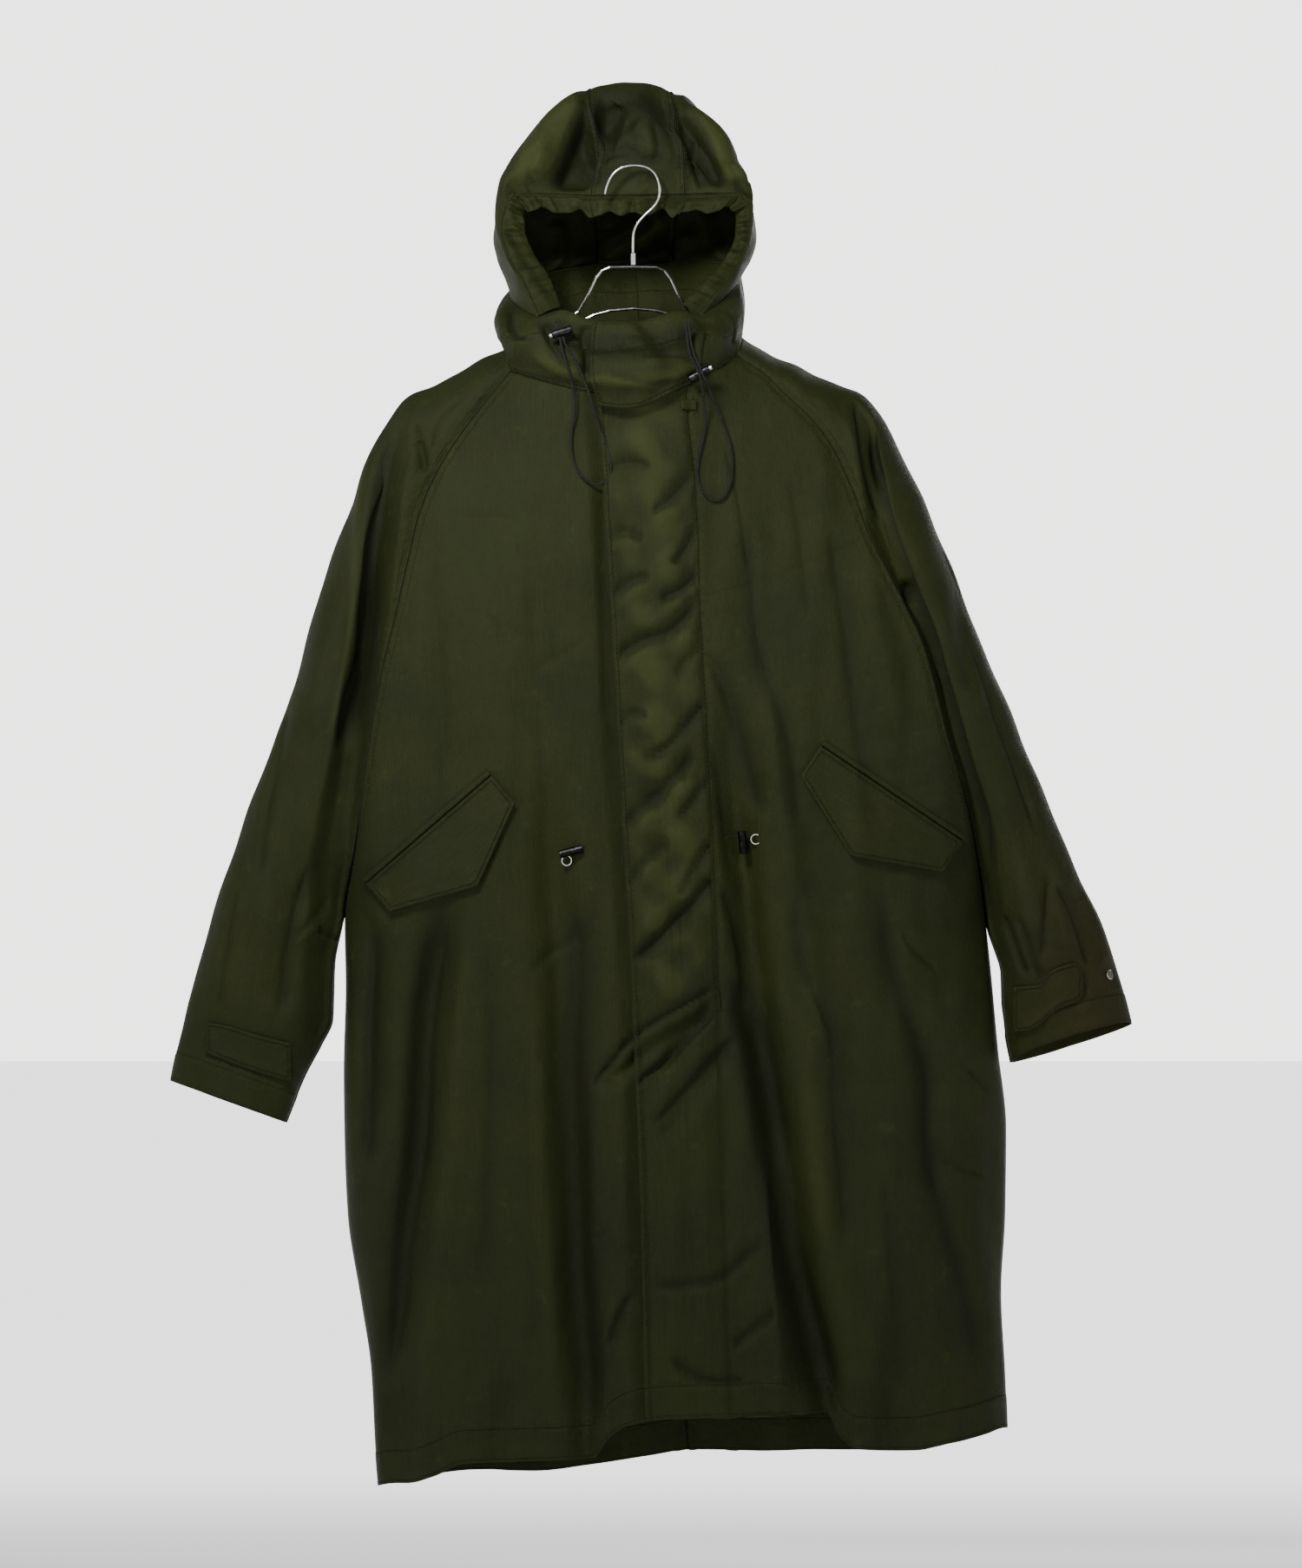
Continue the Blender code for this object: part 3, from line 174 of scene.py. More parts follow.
floor_mesh = bmesh.new()
bmesh.ops.create_grid(floor_mesh, x_segments=1, y_segments=1, size=60)
bmesh.ops.translate(floor_mesh, vec=(0, 0, FLOOR), verts=floor_mesh.verts)
floor_data = bpy.data.meshes.new("floor")
floor_mesh.to_mesh(floor_data)
floor_mesh.free()
floor = bpy.data.objects.new("floor", floor_data)
bpy.context.scene.collection.objects.link(floor)
floor_paint = Finish("pale_floor", 0.9, Base_Color=(0.86, 0.86, 0.85, 1), Emission_Strength=2.1)
reach = floor_paint.root.node("VectorMath", {"operation": "LENGTH"}, {0: floor_paint.place}, "Value")
floor_paint.feed("Emission Color", reach.node("MapRange", (), {
    "Value": reach, "From Min": FLOOR_GLOW[0], "From Max": FLOOR_GLOW[1]}))
floor_data.materials.append(floor_paint.material)

surround = bpy.data.worlds.new("surround")
surround.use_nodes = True
sky = Field(surround.node_tree, None)
direction = sky.node("TexCoord", output="Generated")
up = sky.node("SeparateXYZ", (), {0: direction}, "Z")
glow = sky.node("MapRange", (), {
    "Value": up.math("ABSOLUTE", up), "From Min": 0.03, "From Max": 0.10, "To Min": 3.2, "To Max": 0.2})
background = surround.node_tree.nodes["Background"]
background.inputs["Color"].default_value = (1.0, 1.0, 0.98, 1)
surround.node_tree.links.new(glow.socket, background.inputs["Strength"])
bpy.context.scene.world = surround

for name, place, size, watts in (
        ("key light", (-0.58, -1.32, 0.76), 0.4, 46),
        ("front light", (0.9, -4.0, 0.8), 1.2, 5),
        ("back light", (0.9, 2.4, 0.2), 1.2, 24)):
    lamp = bpy.data.lights.new(name, "AREA")
    lamp.size = size
    lamp.energy = watts
    light = bpy.data.objects.new(name, lamp)
    light.location = place
    aim = COAT_MIDDLE - Vector(place)
    light.rotation_euler = aim.to_track_quat("-Z", "Y").to_euler()
    bpy.context.scene.collection.objects.link(light)

# ------------------------------------------------------------------ hood cords
# Two loops of black round braid. Both ends of each come out of the hood's channel and pass
# through a toggle, and the loop hangs on the chest. Depths are read from the cord's solid.
CORD = 2.4
CORD_STEP = 2.6                 # spacing of the points that a cord is drawn through
# Where the collar's roll holds the cords away from the chest: a height and the depth added.
COLLAR_ROLL = ((-168, 0), (-182, -4.5), (-232, -4.5), (-262, 0))
CORD_RIGHT = (
    # x z
    (-79, -152), (-77, -157), (-75.4, -163.5), (-74, -172), (-70, -188), (-65.5, -202),
    (-61.5, -220), (-60, -240), (-63, -260), (-63, -280), (-58, -297), (-49, -308),
    (-39, -312), (-30, -309), (-25, -300), (-25, -286), (-30, -268), (-39, -246), (-47, -221),
    (-54, -202), (-64, -184), (-70, -173), (-72.4, -163.5), (-73.6, -157), (-75, -152))
CORD_LEFT = (
    (48.3, -153), (50, -170), (53, -186), (58, -196), (61.3, -203.5), (63.5, -212), (67, -235),
    (67, -258), (63, -278), (60, -297), (62, -312), (68, -323), (76, -328), (86, -324),
    (92, -311), (94, -293), (92, -273), (84, -249), (76, -229), (69, -213), (64.3, -203.5),
    (61.2, -195), (56.5, -185), (53, -170), (51.3, -153))


def braid_finish(name, colour, pale):
    """Woven cord: slanted strands, worn a little pale on their tops."""
    finish = Finish(name, 0.8, Specular_IOR_Level=0.12)
    strands = finish.wave(finish.place, "DIAGONAL", 300.0, 1.5)
    wear = finish.noise(finish.place, 220.0)
    tone = (strands * 0.5 + wear * 0.5).between(0.25, 0.8)
    finish.feed("Base Color", tone.tint((*colour, 1), (*pale, 1)))
    finish.bump(strands, 0.0003, 0.6)
    return finish.material


BRAID = braid_finish("black_braid", (0.004, 0.004, 0.004), (0.020, 0.020, 0.018))


def smooth_route(points, spacing):
    """Points at an even spacing on a smooth line through given places."""
    points = np.array(points, dtype=float)
    chain = np.vstack([2 * points[0] - points[1], points, 2 * points[-1] - points[-2]])
    fine = []
    for a, b, c, d in zip(chain, chain[1:], chain[2:], chain[3:]):
        count = max(1, round(float(np.linalg.norm(c - b)) / spacing))
        t = (np.arange(count) / count)[:, None]
        fine.append(0.5 * (2 * b + (c - a) * t + (2 * a - 5 * b + 4 * c - d) * t ** 2
                           + (3 * b - a - 3 * c + d) * t ** 3))
    return np.vstack(fine + [points[-1:]])


def corners_of(node):
    """Corners of a CAD node in millimetres."""
    corners = np.empty(len(cad[node].data.vertices) * 3, np.float32)
    cad[node].data.vertices.foreach_get("co", corners)
    return corners.reshape(-1, 3).astype(float) / MM


def round_tube(name, points, diameter, material):
    """Round cord or wire along a line of points in millimetres."""
    curve = bpy.data.curves.new(name, "CURVE")
    curve.dimensions = "3D"
    curve.bevel_depth = diameter / 2 * MM
    curve.bevel_resolution = 4
    curve.use_fill_caps = True
    spline = curve.splines.new("POLY")
    spline.points.add(len(points) - 1)
    for item, point in zip(spline.points, points):
        item.co = (*(Vector(point) * MM), 1.0)
    spline.use_smooth = True
    curve.materials.append(material)
    item = bpy.data.objects.new(name, curve)
    bpy.context.scene.collection.objects.link(item)
    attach(item, "root")
    return item


def lain_on(node, route, spacing):
    """Smooth line along a flat route, with the depths of the node that it stands for."""
    corners = corners_of(node)
    line = smooth_route([(x, 0, z) for x, z in route], spacing)
    for point in line:
        away = np.hypot(corners[:, 0] - point[0], corners[:, 2] - point[2])
        point[1] = corners[np.argsort(away)[:10], 1].mean()
    for _ in range(6):
        line[1:-1, 1] = (line[:-2, 1] + line[1:-1, 1] * 2 + line[2:, 1]) / 4
    return line


for word, route in (("right", CORD_RIGHT), ("left", CORD_LEFT)):
    line = lain_on("hood_cord_" + word, route, CORD_STEP)
    line[:, 1] += np.interp(-line[:, 2], [-z for z, _ in COLLAR_ROLL], [y for _, y in COLLAR_ROLL])
    cord = round_tube("hood_cord_" + word + "_braid", line, CORD, BRAID)
    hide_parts("hood_cord_" + word)


# ------------------------------------------------------------------ toggles and eyelets
# Spring barrels of dark nickel on the hood cords, each with a bright plunger. At the waist
# a black barrel holds the waist cord beside a steel eyelet. One cuff snap shows.
def metal_finish(name, colour, worn, roughness):
    """Plated metal with fine scratches and rubbed places."""
    finish = Finish(name, roughness, 1.0)
    rub = finish.noise(finish.place, 260.0, 3.0)
    scratch = finish.noise(finish.scaled(finish.place, (1.0, 1.0, 9.0)), 500.0, 2.0)
    tone = (rub * 0.7 + scratch * 0.3).between(0.42, 0.68)
    finish.feed("Base Color", tone.tint((*colour, 1), (*worn, 1)))
    finish.feed("Roughness", scratch * 0.14 + (roughness - 0.06))
    finish.bump(scratch, 0.00005, 0.5)
    return finish.material


DARK_NICKEL = metal_finish("dark_nickel", (0.010, 0.010, 0.011), (0.04, 0.04, 0.04), 0.36)
STEEL = metal_finish("polished_steel", (0.36, 0.35, 0.33), (0.56, 0.55, 0.52), 0.18)
BLACK_ENAMEL = metal_finish("black_enamel", (0.006, 0.006, 0.006), (0.02, 0.02, 0.02), 0.32)


def give(node, material):
    """A CAD node whose shape is right keeps it and gets a better finish."""
    cad[node].data.materials.clear()
    cad[node].data.materials.append(material)


for word in ("right", "left"):
    give("hood_toggle_" + word, DARK_NICKEL)
    give("hood_plunger_" + word, STEEL)
    give("waist_toggle_" + word, BLACK_ENAMEL)
    give("waist_eyelet_" + word, STEEL)
give("cuff_snap_left", STEEL)
give("waist_cord_left", BRAID)

# ------------------------------------------------------------------ hanger
# A bent steel wire lies under both shoulders of the coat. A hook of the same wire stands in
# a ferrule at its middle and goes over a rail.
HOOK = ((-31, -26.5), (-29, -18.5), (-24, -8.5), (-16, -1.5), (-6, 1.4), (3, 1.5), (11, -0.7),
        (17.5, -5.5), (21.5, -13), (23, -22.5), (21, -32.5), (16, -40), (8, -47.5), (1.5, -55),
        (-2.4, -63), (-3.2, -73), (-3.2, -84))
WIRE = 3.0
hook_line = smooth_route([(x, 0, z) for x, z in HOOK], 2)
hook = round_tube("hanger_hook_wire", hook_line, WIRE, STEEL)
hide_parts("hanger_hook")
give("hanger_frame", STEEL)
give("hanger_ferrule", STEEL)


# ------------------------------------------------------------------ right front
# The wearer's right front, cut in one piece from the neck to the hem in heavy cotton sateen.
# Its free edge lies hidden under the left front's fly. The hem is turned up and stitched.
class Table:
    """Rows with named columns, read as smooth curves; the first column is the place."""

    def __init__(self, names, *rows):
        self.names = names.split()
        self.rows = np.array(rows, dtype=float)
        rise = np.diff(self.rows, axis=0) / np.diff(self.rows[:, :1], axis=0)
        product = rise[:-1] * rise[1:]
        total = np.where(product > 0, rise[:-1] + rise[1:], 1.0)
        inner = np.where(product > 0, 2 * product / total, 0.0)
        self.slopes = np.vstack([rise[:1], inner, rise[-1:]])

    def at(self, place):
        places = self.rows[:, 0]
        place = np.clip(np.asarray(place, dtype=float), places[0], places[-1])
        low = np.clip(np.searchsorted(places, place, side="right") - 1, 0, len(places) - 2)
        step = (places[low + 1] - places[low])[..., None]
        t = (place - places[low])[..., None] / step
        value = ((1 + 2 * t) * (1 - t) ** 2 * self.rows[low]
                 + t * (1 - t) ** 2 * step * self.slopes[low]
                 + t * t * (3 - 2 * t) * self.rows[low + 1]
                 + t * t * (t - 1) * step * self.slopes[low + 1])
        return SimpleNamespace(**{name: value[..., i] for i, name in enumerate(self.names)})


def ease(low, high, value):
    """0 below low, 1 above high, smooth between."""
    t = np.clip((value - low) / (high - low), 0.0, 1.0)
    return t * t * (3 - 2 * t)


def stack(x, y, z):
    """Points of three grids of coordinates."""
    return np.stack(np.broadcast_arrays(x, y, z), axis=-1)


def across(start, stop, share):
    """Value at a share of the way from start to stop."""
    return start + (stop - start) * share


# Raglan seam, then side seam. down is 0 at the neck, 1 at the underarm and 2 at the hem, and
# deep is how far the seam lies in front of the hanger.
SEAM_RIGHT = Table(
    "down x z deep back_deep",
    (0.00, -123, -201, 38, 30),
    (0.08, -145, -228, 40, 34),
    (0.16, -166, -255, 42, 36),
    (0.24, -184, -281, 43, 37),
    (0.32, -198, -306, 45, 38),
    (0.42, -212, -340, 48, 40),
    (0.52, -224, -390, 52, 42),
    (0.62, -237, -447, 56, 44),
    (0.72, -251, -504, 56, 44),
    (0.82, -265, -589, 50, 38),
    (0.91, -276, -674, 34, 26),
    (1.00, -286, -740, 0, 0),
    (1.11, -285, -803, 0, 0),
    (1.27, -287, -887, 0, 0),
    (1.39, -286, -958, 0, 0),
    (1.52, -283, -1027, 0, 0),
    (1.67, -270, -1111, 0, 0),
    (1.79, -260, -1179, 0, 0),
    (1.93, -256, -1255, 0, 0),
    (2.00, -253, -1293, 0, 0))
SEAM_LEFT = Table(
    "down x z deep back_deep",
    (0.00, 99, -186, 38, 30),
    (0.08, 125, -203, 40, 34),
    (0.16, 149, -226, 42, 36),
    (0.24, 173, -249, 43, 37),
    (0.32, 190, -272, 45, 38),
    (0.42, 209, -310, 48, 40),
    (0.52, 229, -362, 52, 42),
    (0.62, 252, -408, 56, 44),
    (0.72, 280, -466, 56, 44),
    (0.82, 305, -557, 50, 38),
    (0.91, 328, -640, 34, 26),
    (1.00, 344, -751, 0, 0),
    (1.08, 348, -789, 0, 0),
    (1.24, 355, -865, 0, 0),
    (1.39, 363, -942, 0, 0),
    (1.57, 362, -1027, 0, 0),
    (1.73, 358, -1103, 0, 0),
    (1.89, 362, -1184, 0, 0),
    (2.00, 364, -1236, 0, 0))
# The coat's middle line, the fly's two edges, and the depth of front and back there.
MIDDLE = Table(
    "down x z fly_edge fly_stitch front back_z back",
    (0.00, 4, -228, -38, 49, 80, -171, 66),
    (0.08, 6, -256, -37, 51, 77, -204, 62),
    (0.16, 8, -284, -35, 54, 76, -238, 60),
    (0.24, 10, -310, -33, 57, 77, -270, 60),
    (0.32, 12, -339, -32, 59, 79, -306, 61),
    (0.42, 14, -381, -29, 61, 81, -356, 62),
    (0.52, 17, -428, -26, 62, 83, -412, 63),
    (0.62, 19, -481, -23, 65, 85, -470, 64),
    (0.72, 21, -543, -20, 69, 87, -536, 65),
    (0.82, 24, -615, -16, 73, 88, -612, 66),
    (0.91, 26, -685, -12, 77, 89, -684, 66),
    (1.00, 28, -748, -8, 79, 90, -748, 66),
    (1.50, 40, -987, 3, 87, 92, -1010, 68),
    (2.00, 52, -1226, 10, 96, 90, -1262, 68))
HEM_FRONT = Table(
    "x z",
    (-253, -1293), (-228, -1294), (-198, -1284), (-168, -1270), (-113, -1268),
    (-62, -1266), (-40, -1264), (-28, -1246), (-8, -1233), (30, -1226), (98, -1224),
    (152, -1222), (186, -1219), (200, -1244), (218, -1256), (275, -1258), (300, -1254),
    (345, -1248), (364, -1236))
HEM_BACK = Table(
    "x z",
    (-253, -1293), (-156, -1278), (-101, -1280), (-46, -1274), (13, -1265), (55, -1259),
    (119, -1260), (182, -1259), (275, -1259), (364, -1236))
# Folds seen from the front: a line from top to low, bowed sideways, with its half width
# and its depth into the cloth (a negative depth is a ridge).
FRONT_FOLDS = (
    # x_top z_top  x_low  z_low  bow width depth
    (-190, -690, -250, -1380, -3, 17, 15),
    (-84, -560, -36, -1380, 9, 16, 16),
    (78, -480, 214, -1380, 8, 17, 22),
    (129, -460, 200, -910, 12, 15, -8),
    (136, -940, 140, -1230, 0, 13, -9),
    (273, -790, 300, -1010, 0, 14, 7),
    (-272, -780, -272, -1010, 0, 12, 5),
    (-205, -400, -180, -620, 0, 14, 4),
    (84, -802, 8, -906, 0, 9, 7),
    (76, -818, -42, -908, 0, 8, 6),
    (92, -858, 22, -958, 0, 11, 6),
    (215, -330, 268, -560, 4, 14, -5),
    (-120, -1180, -150, -1330, 0, 14, 6),
    (250, -1100, 262, -1330, 0, 16, 6))
LAP = 5.0                       # how far the underlap lies behind the fly
LAP_WIDTH = 34.0                # from the fly's edge to the underlap's free edge
LAP_BEND = 14.0                 # from the fly's edge out to where the underlap steps back
HEM_TURN = 32.0                 # from the hem's edge up to its stitches
SEAM_ROW = 6.0                  # from a seam to the stitches beside it
EDGE_ROW = 3.0                  # from a free edge to its stitches
ROUND = 2.4                     # how square the coat's section is from middle to side
SEAM_FALL = 1.6                 # how late a row turns down towards the side seam


def push(x, z, folds):
    """Depth of a list of folds at a place seen from the front."""
    total = np.zeros(np.broadcast(x, z).shape)
    for x_top, z_top, x_low, z_low, bow, width, depth in folds:
        length = math.hypot(x_low - x_top, z_low - z_top)
        run_x = (x_low - x_top) / length
        run_z = (z_low - z_top) / length
        t = ((x - x_top) * run_x + (z - z_top) * run_z) / length
        aside = (x - x_top) * run_z - (z - z_top) * run_x - bow * 4 * t * (1 - t)
        fade = ease(0.0, 0.2, t) * (1 - ease(0.85, 1.0, t))
        total = total + depth * fade * np.exp(-(aside / width) ** 2)
    return total


def body_place(x, down, front):
    """Points of the front or the back at distance x across the coat."""
    middle = MIDDLE.at(down)
    right = SEAM_RIGHT.at(down)
    left = SEAM_LEFT.at(down)
    is_right = x < middle.x
    seam_x = np.where(is_right, right.x, left.x)
    seam_z = np.where(is_right, right.z, left.z)
    side = np.clip((x - middle.x) / (seam_x - middle.x), 0.0, 1.0)
    hem_share = np.clip((down - 1.5) / 0.5, 0.0, 1.0) ** 2
    bulge = 1.0 - 0.5 * ease(0.7, 1.0, down)
    inner = (1 - side ** ROUND) ** bulge
    if front:
        edge = np.where(is_right, right.deep, left.deep)
        z = middle.z + (seam_z - middle.z) * side ** SEAM_FALL
        keep = 1 - side ** 10
        z = z + (HEM_FRONT.at(x).z - z) * hem_share * keep
        y = -(edge + (middle.front - edge) * inner) + push(x, z, FRONT_FOLDS) * keep
    else:
        edge = np.where(is_right, right.back_deep, left.back_deep)
        seam_z = seam_z + back_lift(down)
        z = middle.back_z + (seam_z - middle.back_z) * side ** SEAM_FALL
        keep = 1 - side ** 10
        z = z + (HEM_BACK.at(x).z - z) * hem_share * keep
        y = edge + (middle.back - edge) * inner - push(x, z, BACK_FOLDS) * keep
    return stack(x, y, z)


def back_lift(down):
    """How much higher the raglan seam runs behind than in front."""
    return 14 * np.clip(1 - down / 0.5, 0.0, 1.0) ** 2


def outward(points, inside):
    """Directions out of the cloth at each point of a grid."""
    out = np.cross(np.gradient(points, axis=1), np.gradient(points, axis=0))
    out /= np.maximum(np.linalg.norm(out, axis=-1, keepdims=True), 1e-9)
    facing = ((points - np.asarray(inside, dtype=float)) * out).sum()
    return out if facing > 0 else -out


def from_edges(points):
    """Distances in mm of each point of a grid from its first and last columns and rows."""
    across_step = np.linalg.norm(np.diff(points, axis=1), axis=-1)
    down_step = np.linalg.norm(np.diff(points, axis=0), axis=-1)
    start = np.pad(np.cumsum(across_step, axis=1), ((0, 0), (1, 0)))
    top = np.pad(np.cumsum(down_step, axis=0), ((1, 0), (0, 0)))
    return start, start[:, -1:] - start, top, top[-1:] - top


def crease(x, z, marks):
    """Height of creases seen from the front. Each has its width, its depth and its
    route. Its left or lower wall is steep, or the other one where the width is negative."""
    total = np.zeros(np.broadcast(x, z).shape)
    for width, depth, *route in marks:
        line = smooth_route([(a, 0, b) for a, b in route], 4)[:, (0, 2)]
        upright = abs(line[-1, 1] - line[0, 1]) > abs(line[-1, 0] - line[0, 0])
        along, aside = (z, x) if upright else (x, z)
        if upright:
            line = line[:, ::-1]
        line = line[np.argsort(line[:, 0])]
        line[:, 0] += 1e-4 * np.arange(len(line))
        slope = np.gradient(line[:, 1], line[:, 0])
        lean = np.sqrt(1 + np.interp(along, line[:, 0], slope) ** 2)
        away = (aside - np.interp(along, line[:, 0], line[:, 1])) / lean * math.copysign(1, width)
        wide = abs(width)
        t = (along - line[0, 0]) / (line[-1, 0] - line[0, 0])
        fade = ease(0.0, 0.14, t) * (1 - ease(0.86, 1.0, t))
        bend = np.sqrt((away / np.where(away < 0, 0.4 * wide, wide)) ** 2 + 0.01) - 0.1
        trough = np.exp(-1.5 * bend ** 1.25)
        lip = 0.16 * np.exp(-((away + 1.2 * wide) / (0.6 * wide)) ** 2)
        total = total - depth * fade * (trough - lip)
    return total


def hang(x, z, waves):
    """Low undulation of hanging cloth: each wave has its height, its wavelengths across and
    down, and a shift."""
    total = np.zeros(np.broadcast(x, z).shape)
    for height, wide, long, shift in waves:
        total = total + height * np.sin(2 * math.pi * (x / wide + z / long) + shift)
    return total


BODY_WAVES = ((1.3, 118, 900, 0.4), (0.8, 71, -760, 1.9), (0.5, 43, 520, 3.1), (0.3, 29, -380, 0.8))
FAR = 60.0                      # a distance at which no stitching is near
FULL_RELIEF = 6.0               # height of a crease that takes the full painted highlight of a ridge or painted shade of a hollow


def cloth_piece(name, points, inside, material, replaced, thickness=0.9, edges=(FAR, FAR, FAR),
                relief=0.0):
    """Sheet of cloth on a grid of points in mm, with its UVs in metres along the weave. Its
    edges are the distances from seam, hem and opening, and its relief is the creases' height.
    The finish paints shade along the seam and stitch lines at those distances, and paints shade
    in the relief's hollows and a highlight on its ridges."""
    rows, columns = points.shape[:2]
    mesh = bmesh.new()
    bmesh.ops.create_grid(mesh, x_segments=columns - 1, y_segments=rows - 1, size=1)
    for vert, point in zip(mesh.verts, points.reshape(-1, 3)):
        vert.co = Vector(point) * MM
    bmesh.ops.recalc_face_normals(mesh, faces=mesh.faces[:])
    mesh.normal_update()
    out = outward(points, inside).reshape(-1, 3)
    agree = sum(vert.normal.dot(Vector(way)) for vert, way in zip(mesh.verts, out))
    if agree < 0:
        bmesh.ops.reverse_faces(mesh, faces=mesh.faces[:])
    for face in mesh.faces:
        face.smooth = True
    data = bpy.data.meshes.new(name)
    mesh.to_mesh(data)
    mesh.free()
    start, _, top, _ = from_edges(points)
    weave = np.stack([start, top], axis=-1).reshape(-1, 2) * MM
    corner = np.empty(len(data.loops), np.int32)
    data.loops.foreach_get("vertex_index", corner)
    data.uv_layers.new(name="weave").data.foreach_set("uv", weave[corner].ravel())
    near = np.stack([np.broadcast_to(np.minimum(edge, FAR), (rows, columns)) for edge in edges], axis=-1)
    data.attributes.new("edges", "FLOAT_VECTOR", "POINT").data.foreach_set("vector", near.ravel())
    raised = np.broadcast_to(np.clip(relief / FULL_RELIEF, -1, 1), (rows, columns)).ravel()
    data.attributes.new("relief", "FLOAT", "POINT").data.foreach_set("value", raised)
    data.materials.append(material)
    item = bpy.data.objects.new(name, data)
    bpy.context.scene.collection.objects.link(item)
    wall = item.modifiers.new("cloth", "SOLIDIFY")
    wall.thickness = thickness * MM
    wall.offset = -1
    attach(item, "root")
    if replaced:
        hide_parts(*replaced)
    return item


def olive_finish(name, colour, pale, dark):
    """Piece-dyed cotton sateen: slub streaks, mottled dye, a fine weave, fine crinkles, rubbed pale
    patches, painted shade in crease hollows and along seams and stitch rows, a painted highlight on crease
    ridges, and grooves with puckers where it is stitched."""
    finish = Finish(name, 0.60, Sheen_Weight=0.01, Sheen_Roughness=0.4, Specular_IOR_Level=0.14)
    slub = finish.noise(finish.scaled(finish.cloth_place, (900.0, 26.0, 1.0)), 1.0, 3.0)
    mottle = finish.noise(finish.place, 9.0, 4.0, 0.6)
    rub = finish.noise(finish.place, 42.0, 5.0, 0.7)
    relief = finish.named("relief", 2)
    edges = finish.named("edges", 1)
    seam, hem, opening = (edges.node("SeparateXYZ", (), {0: edges}, axis) for axis in range(3))
    # Painted shade along seams and stitch rows. The bump below also presses these lines in as grooves.
    sewn = (seam.line_at(0.0, 1.3) * 0.8 + seam.line_at(6.0, 0.9) * 0.3 + hem.line_at(3.0, 1.0) * 0.4
            + hem.line_at(HEM_TURN, 1.2) * 0.5 + opening.line_at(5.0, 1.2) * 0.7)
    near = hem.math("ABSOLUTE", hem - HEM_TURN)
    near = 1.0 - near.math("MINIMUM", near.math("MINIMUM", near, seam), opening).between(3.0, 17.0)
    grain = finish.noise(finish.place, 620.0, 1.0)
    tone = (slub * 0.35 + mottle * 0.40 + grain * 0.25).between(0.36, 0.62)
    # Paler in random rubbed patches, which are wear, and in a painted highlight on crease ridges.
    worn = rub.between(0.58, 0.80) * 0.4 + relief.between(0.1, 0.7) * 0.4
    across_coat, _, up = (finish.place.node("SeparateXYZ", (), {0: finish.place}, axis)
                          for axis in range(3))
    rust = across_coat.between(0.33, 0.46) * (1.0 - up.between(-0.80, -0.50)) * rub.between(0.3, 0.6)
    base = worn.tint(tone.tint((*dark, 1), (*colour, 1)), (*pale, 1))
    base = (rust * 0.5).tint(base, (0.026, 0.018, 0.004, 1))
    # Painted shade in crease hollows and along seams and stitch rows.
    hollow = (1.0 - relief.between(-1.0, 0.0)) * 0.58 + sewn * 0.6
    finish.feed("Base Color", hollow.tint(base, (*(0.45 * np.array(dark)), 1)))
    finish.feed("Roughness", slub * 0.16 + 0.54)
    warp = finish.wave(finish.cloth_place, "X", 390.0)
    weft = finish.wave(finish.cloth_place, "Y", 390.0)
    crinkle = finish.noise(finish.place, 40.0, 4.0, 0.6)
    ridges = finish.root.node("TexNoise", {"noise_type": "RIDGED_MULTIFRACTAL"}, {
        "Vector": finish.place, "Scale": 13.0, "Detail": 3.0, "Roughness": 0.5})
    pucker = finish.noise(finish.place, 150.0, 2.0)
    height = (slub * 0.14 + grain * 0.10 + warp * 0.04 + weft * 0.04 + crinkle * 0.85
              + ridges * 0.50 + near * pucker * 0.9 - sewn * 0.5)
    finish.bump(height, 0.0024, 0.9)
    return finish.material


OLIVE = olive_finish("olive_sateen", (0.0146, 0.0182, 0.0022), (0.036, 0.043, 0.0085),
                     (0.0084, 0.0110, 0.0013))
THREAD = braid_finish("olive_thread", (0.016, 0.018, 0.006), (0.034, 0.037, 0.014))


def inset(points, edge, distance):
    """Line at a distance from an edge of a grid of points."""
    turned = {"start": points, "end": points[:, ::-1], "top": points.transpose(1, 0, 2),
              "low": points.transpose(1, 0, 2)[:, ::-1]}[edge]
    step = np.linalg.norm(np.diff(turned, axis=1), axis=-1)
    reach = np.pad(np.cumsum(step, axis=1), ((0, 0), (1, 0)))
    return np.stack([[np.interp(distance, far, row[:, axis]) for axis in range(3)]
                     for far, row in zip(reach, turned)])


PITCH = 4.4
THREAD_WIDTH = 0.55
THREAD_HEIGHT = 0.4


def stitches(name, lines, inside):
    """Rows of machine stitches that lie on the cloth along lines of points."""
    mesh = bmesh.new()
    for line in lines:
        line = np.asarray(line, dtype=float)
        step = np.linalg.norm(np.diff(line, axis=0), axis=1)
        reach = np.concatenate([[0.0], np.cumsum(step)])
        for at in np.arange(PITCH / 2, reach[-1], PITCH):
            ends = [Vector([np.interp(at + half, reach, line[:, axis]) for axis in range(3)])
                    for half in (-0.36 * PITCH, 0.36 * PITCH)]
            run = ends[1] - ends[0]
            if run.length < 0.5:
                continue
            centre = (ends[0] + ends[1]) / 2
            away = centre - Vector(inside)
            up = run.cross(away).cross(run).normalized()
            turn = Matrix((run.normalized(), up.cross(run).normalized(), up)).transposed()
            place = Matrix.Translation((centre + up * 0.12) * MM) @ turn.to_4x4()
            size = Matrix.Diagonal((run.length * MM, THREAD_WIDTH * MM, THREAD_HEIGHT * MM, 1.0))
            bmesh.ops.create_cube(mesh, size=1, matrix=place @ size)
    for face in mesh.faces:
        face.smooth = True
    data = bpy.data.meshes.new(name)
    mesh.to_mesh(data)
    mesh.free()
    data.materials.append(THREAD)
    item = bpy.data.objects.new(name, data)
    bpy.context.scene.collection.objects.link(item)
    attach(item, "root")
    return item


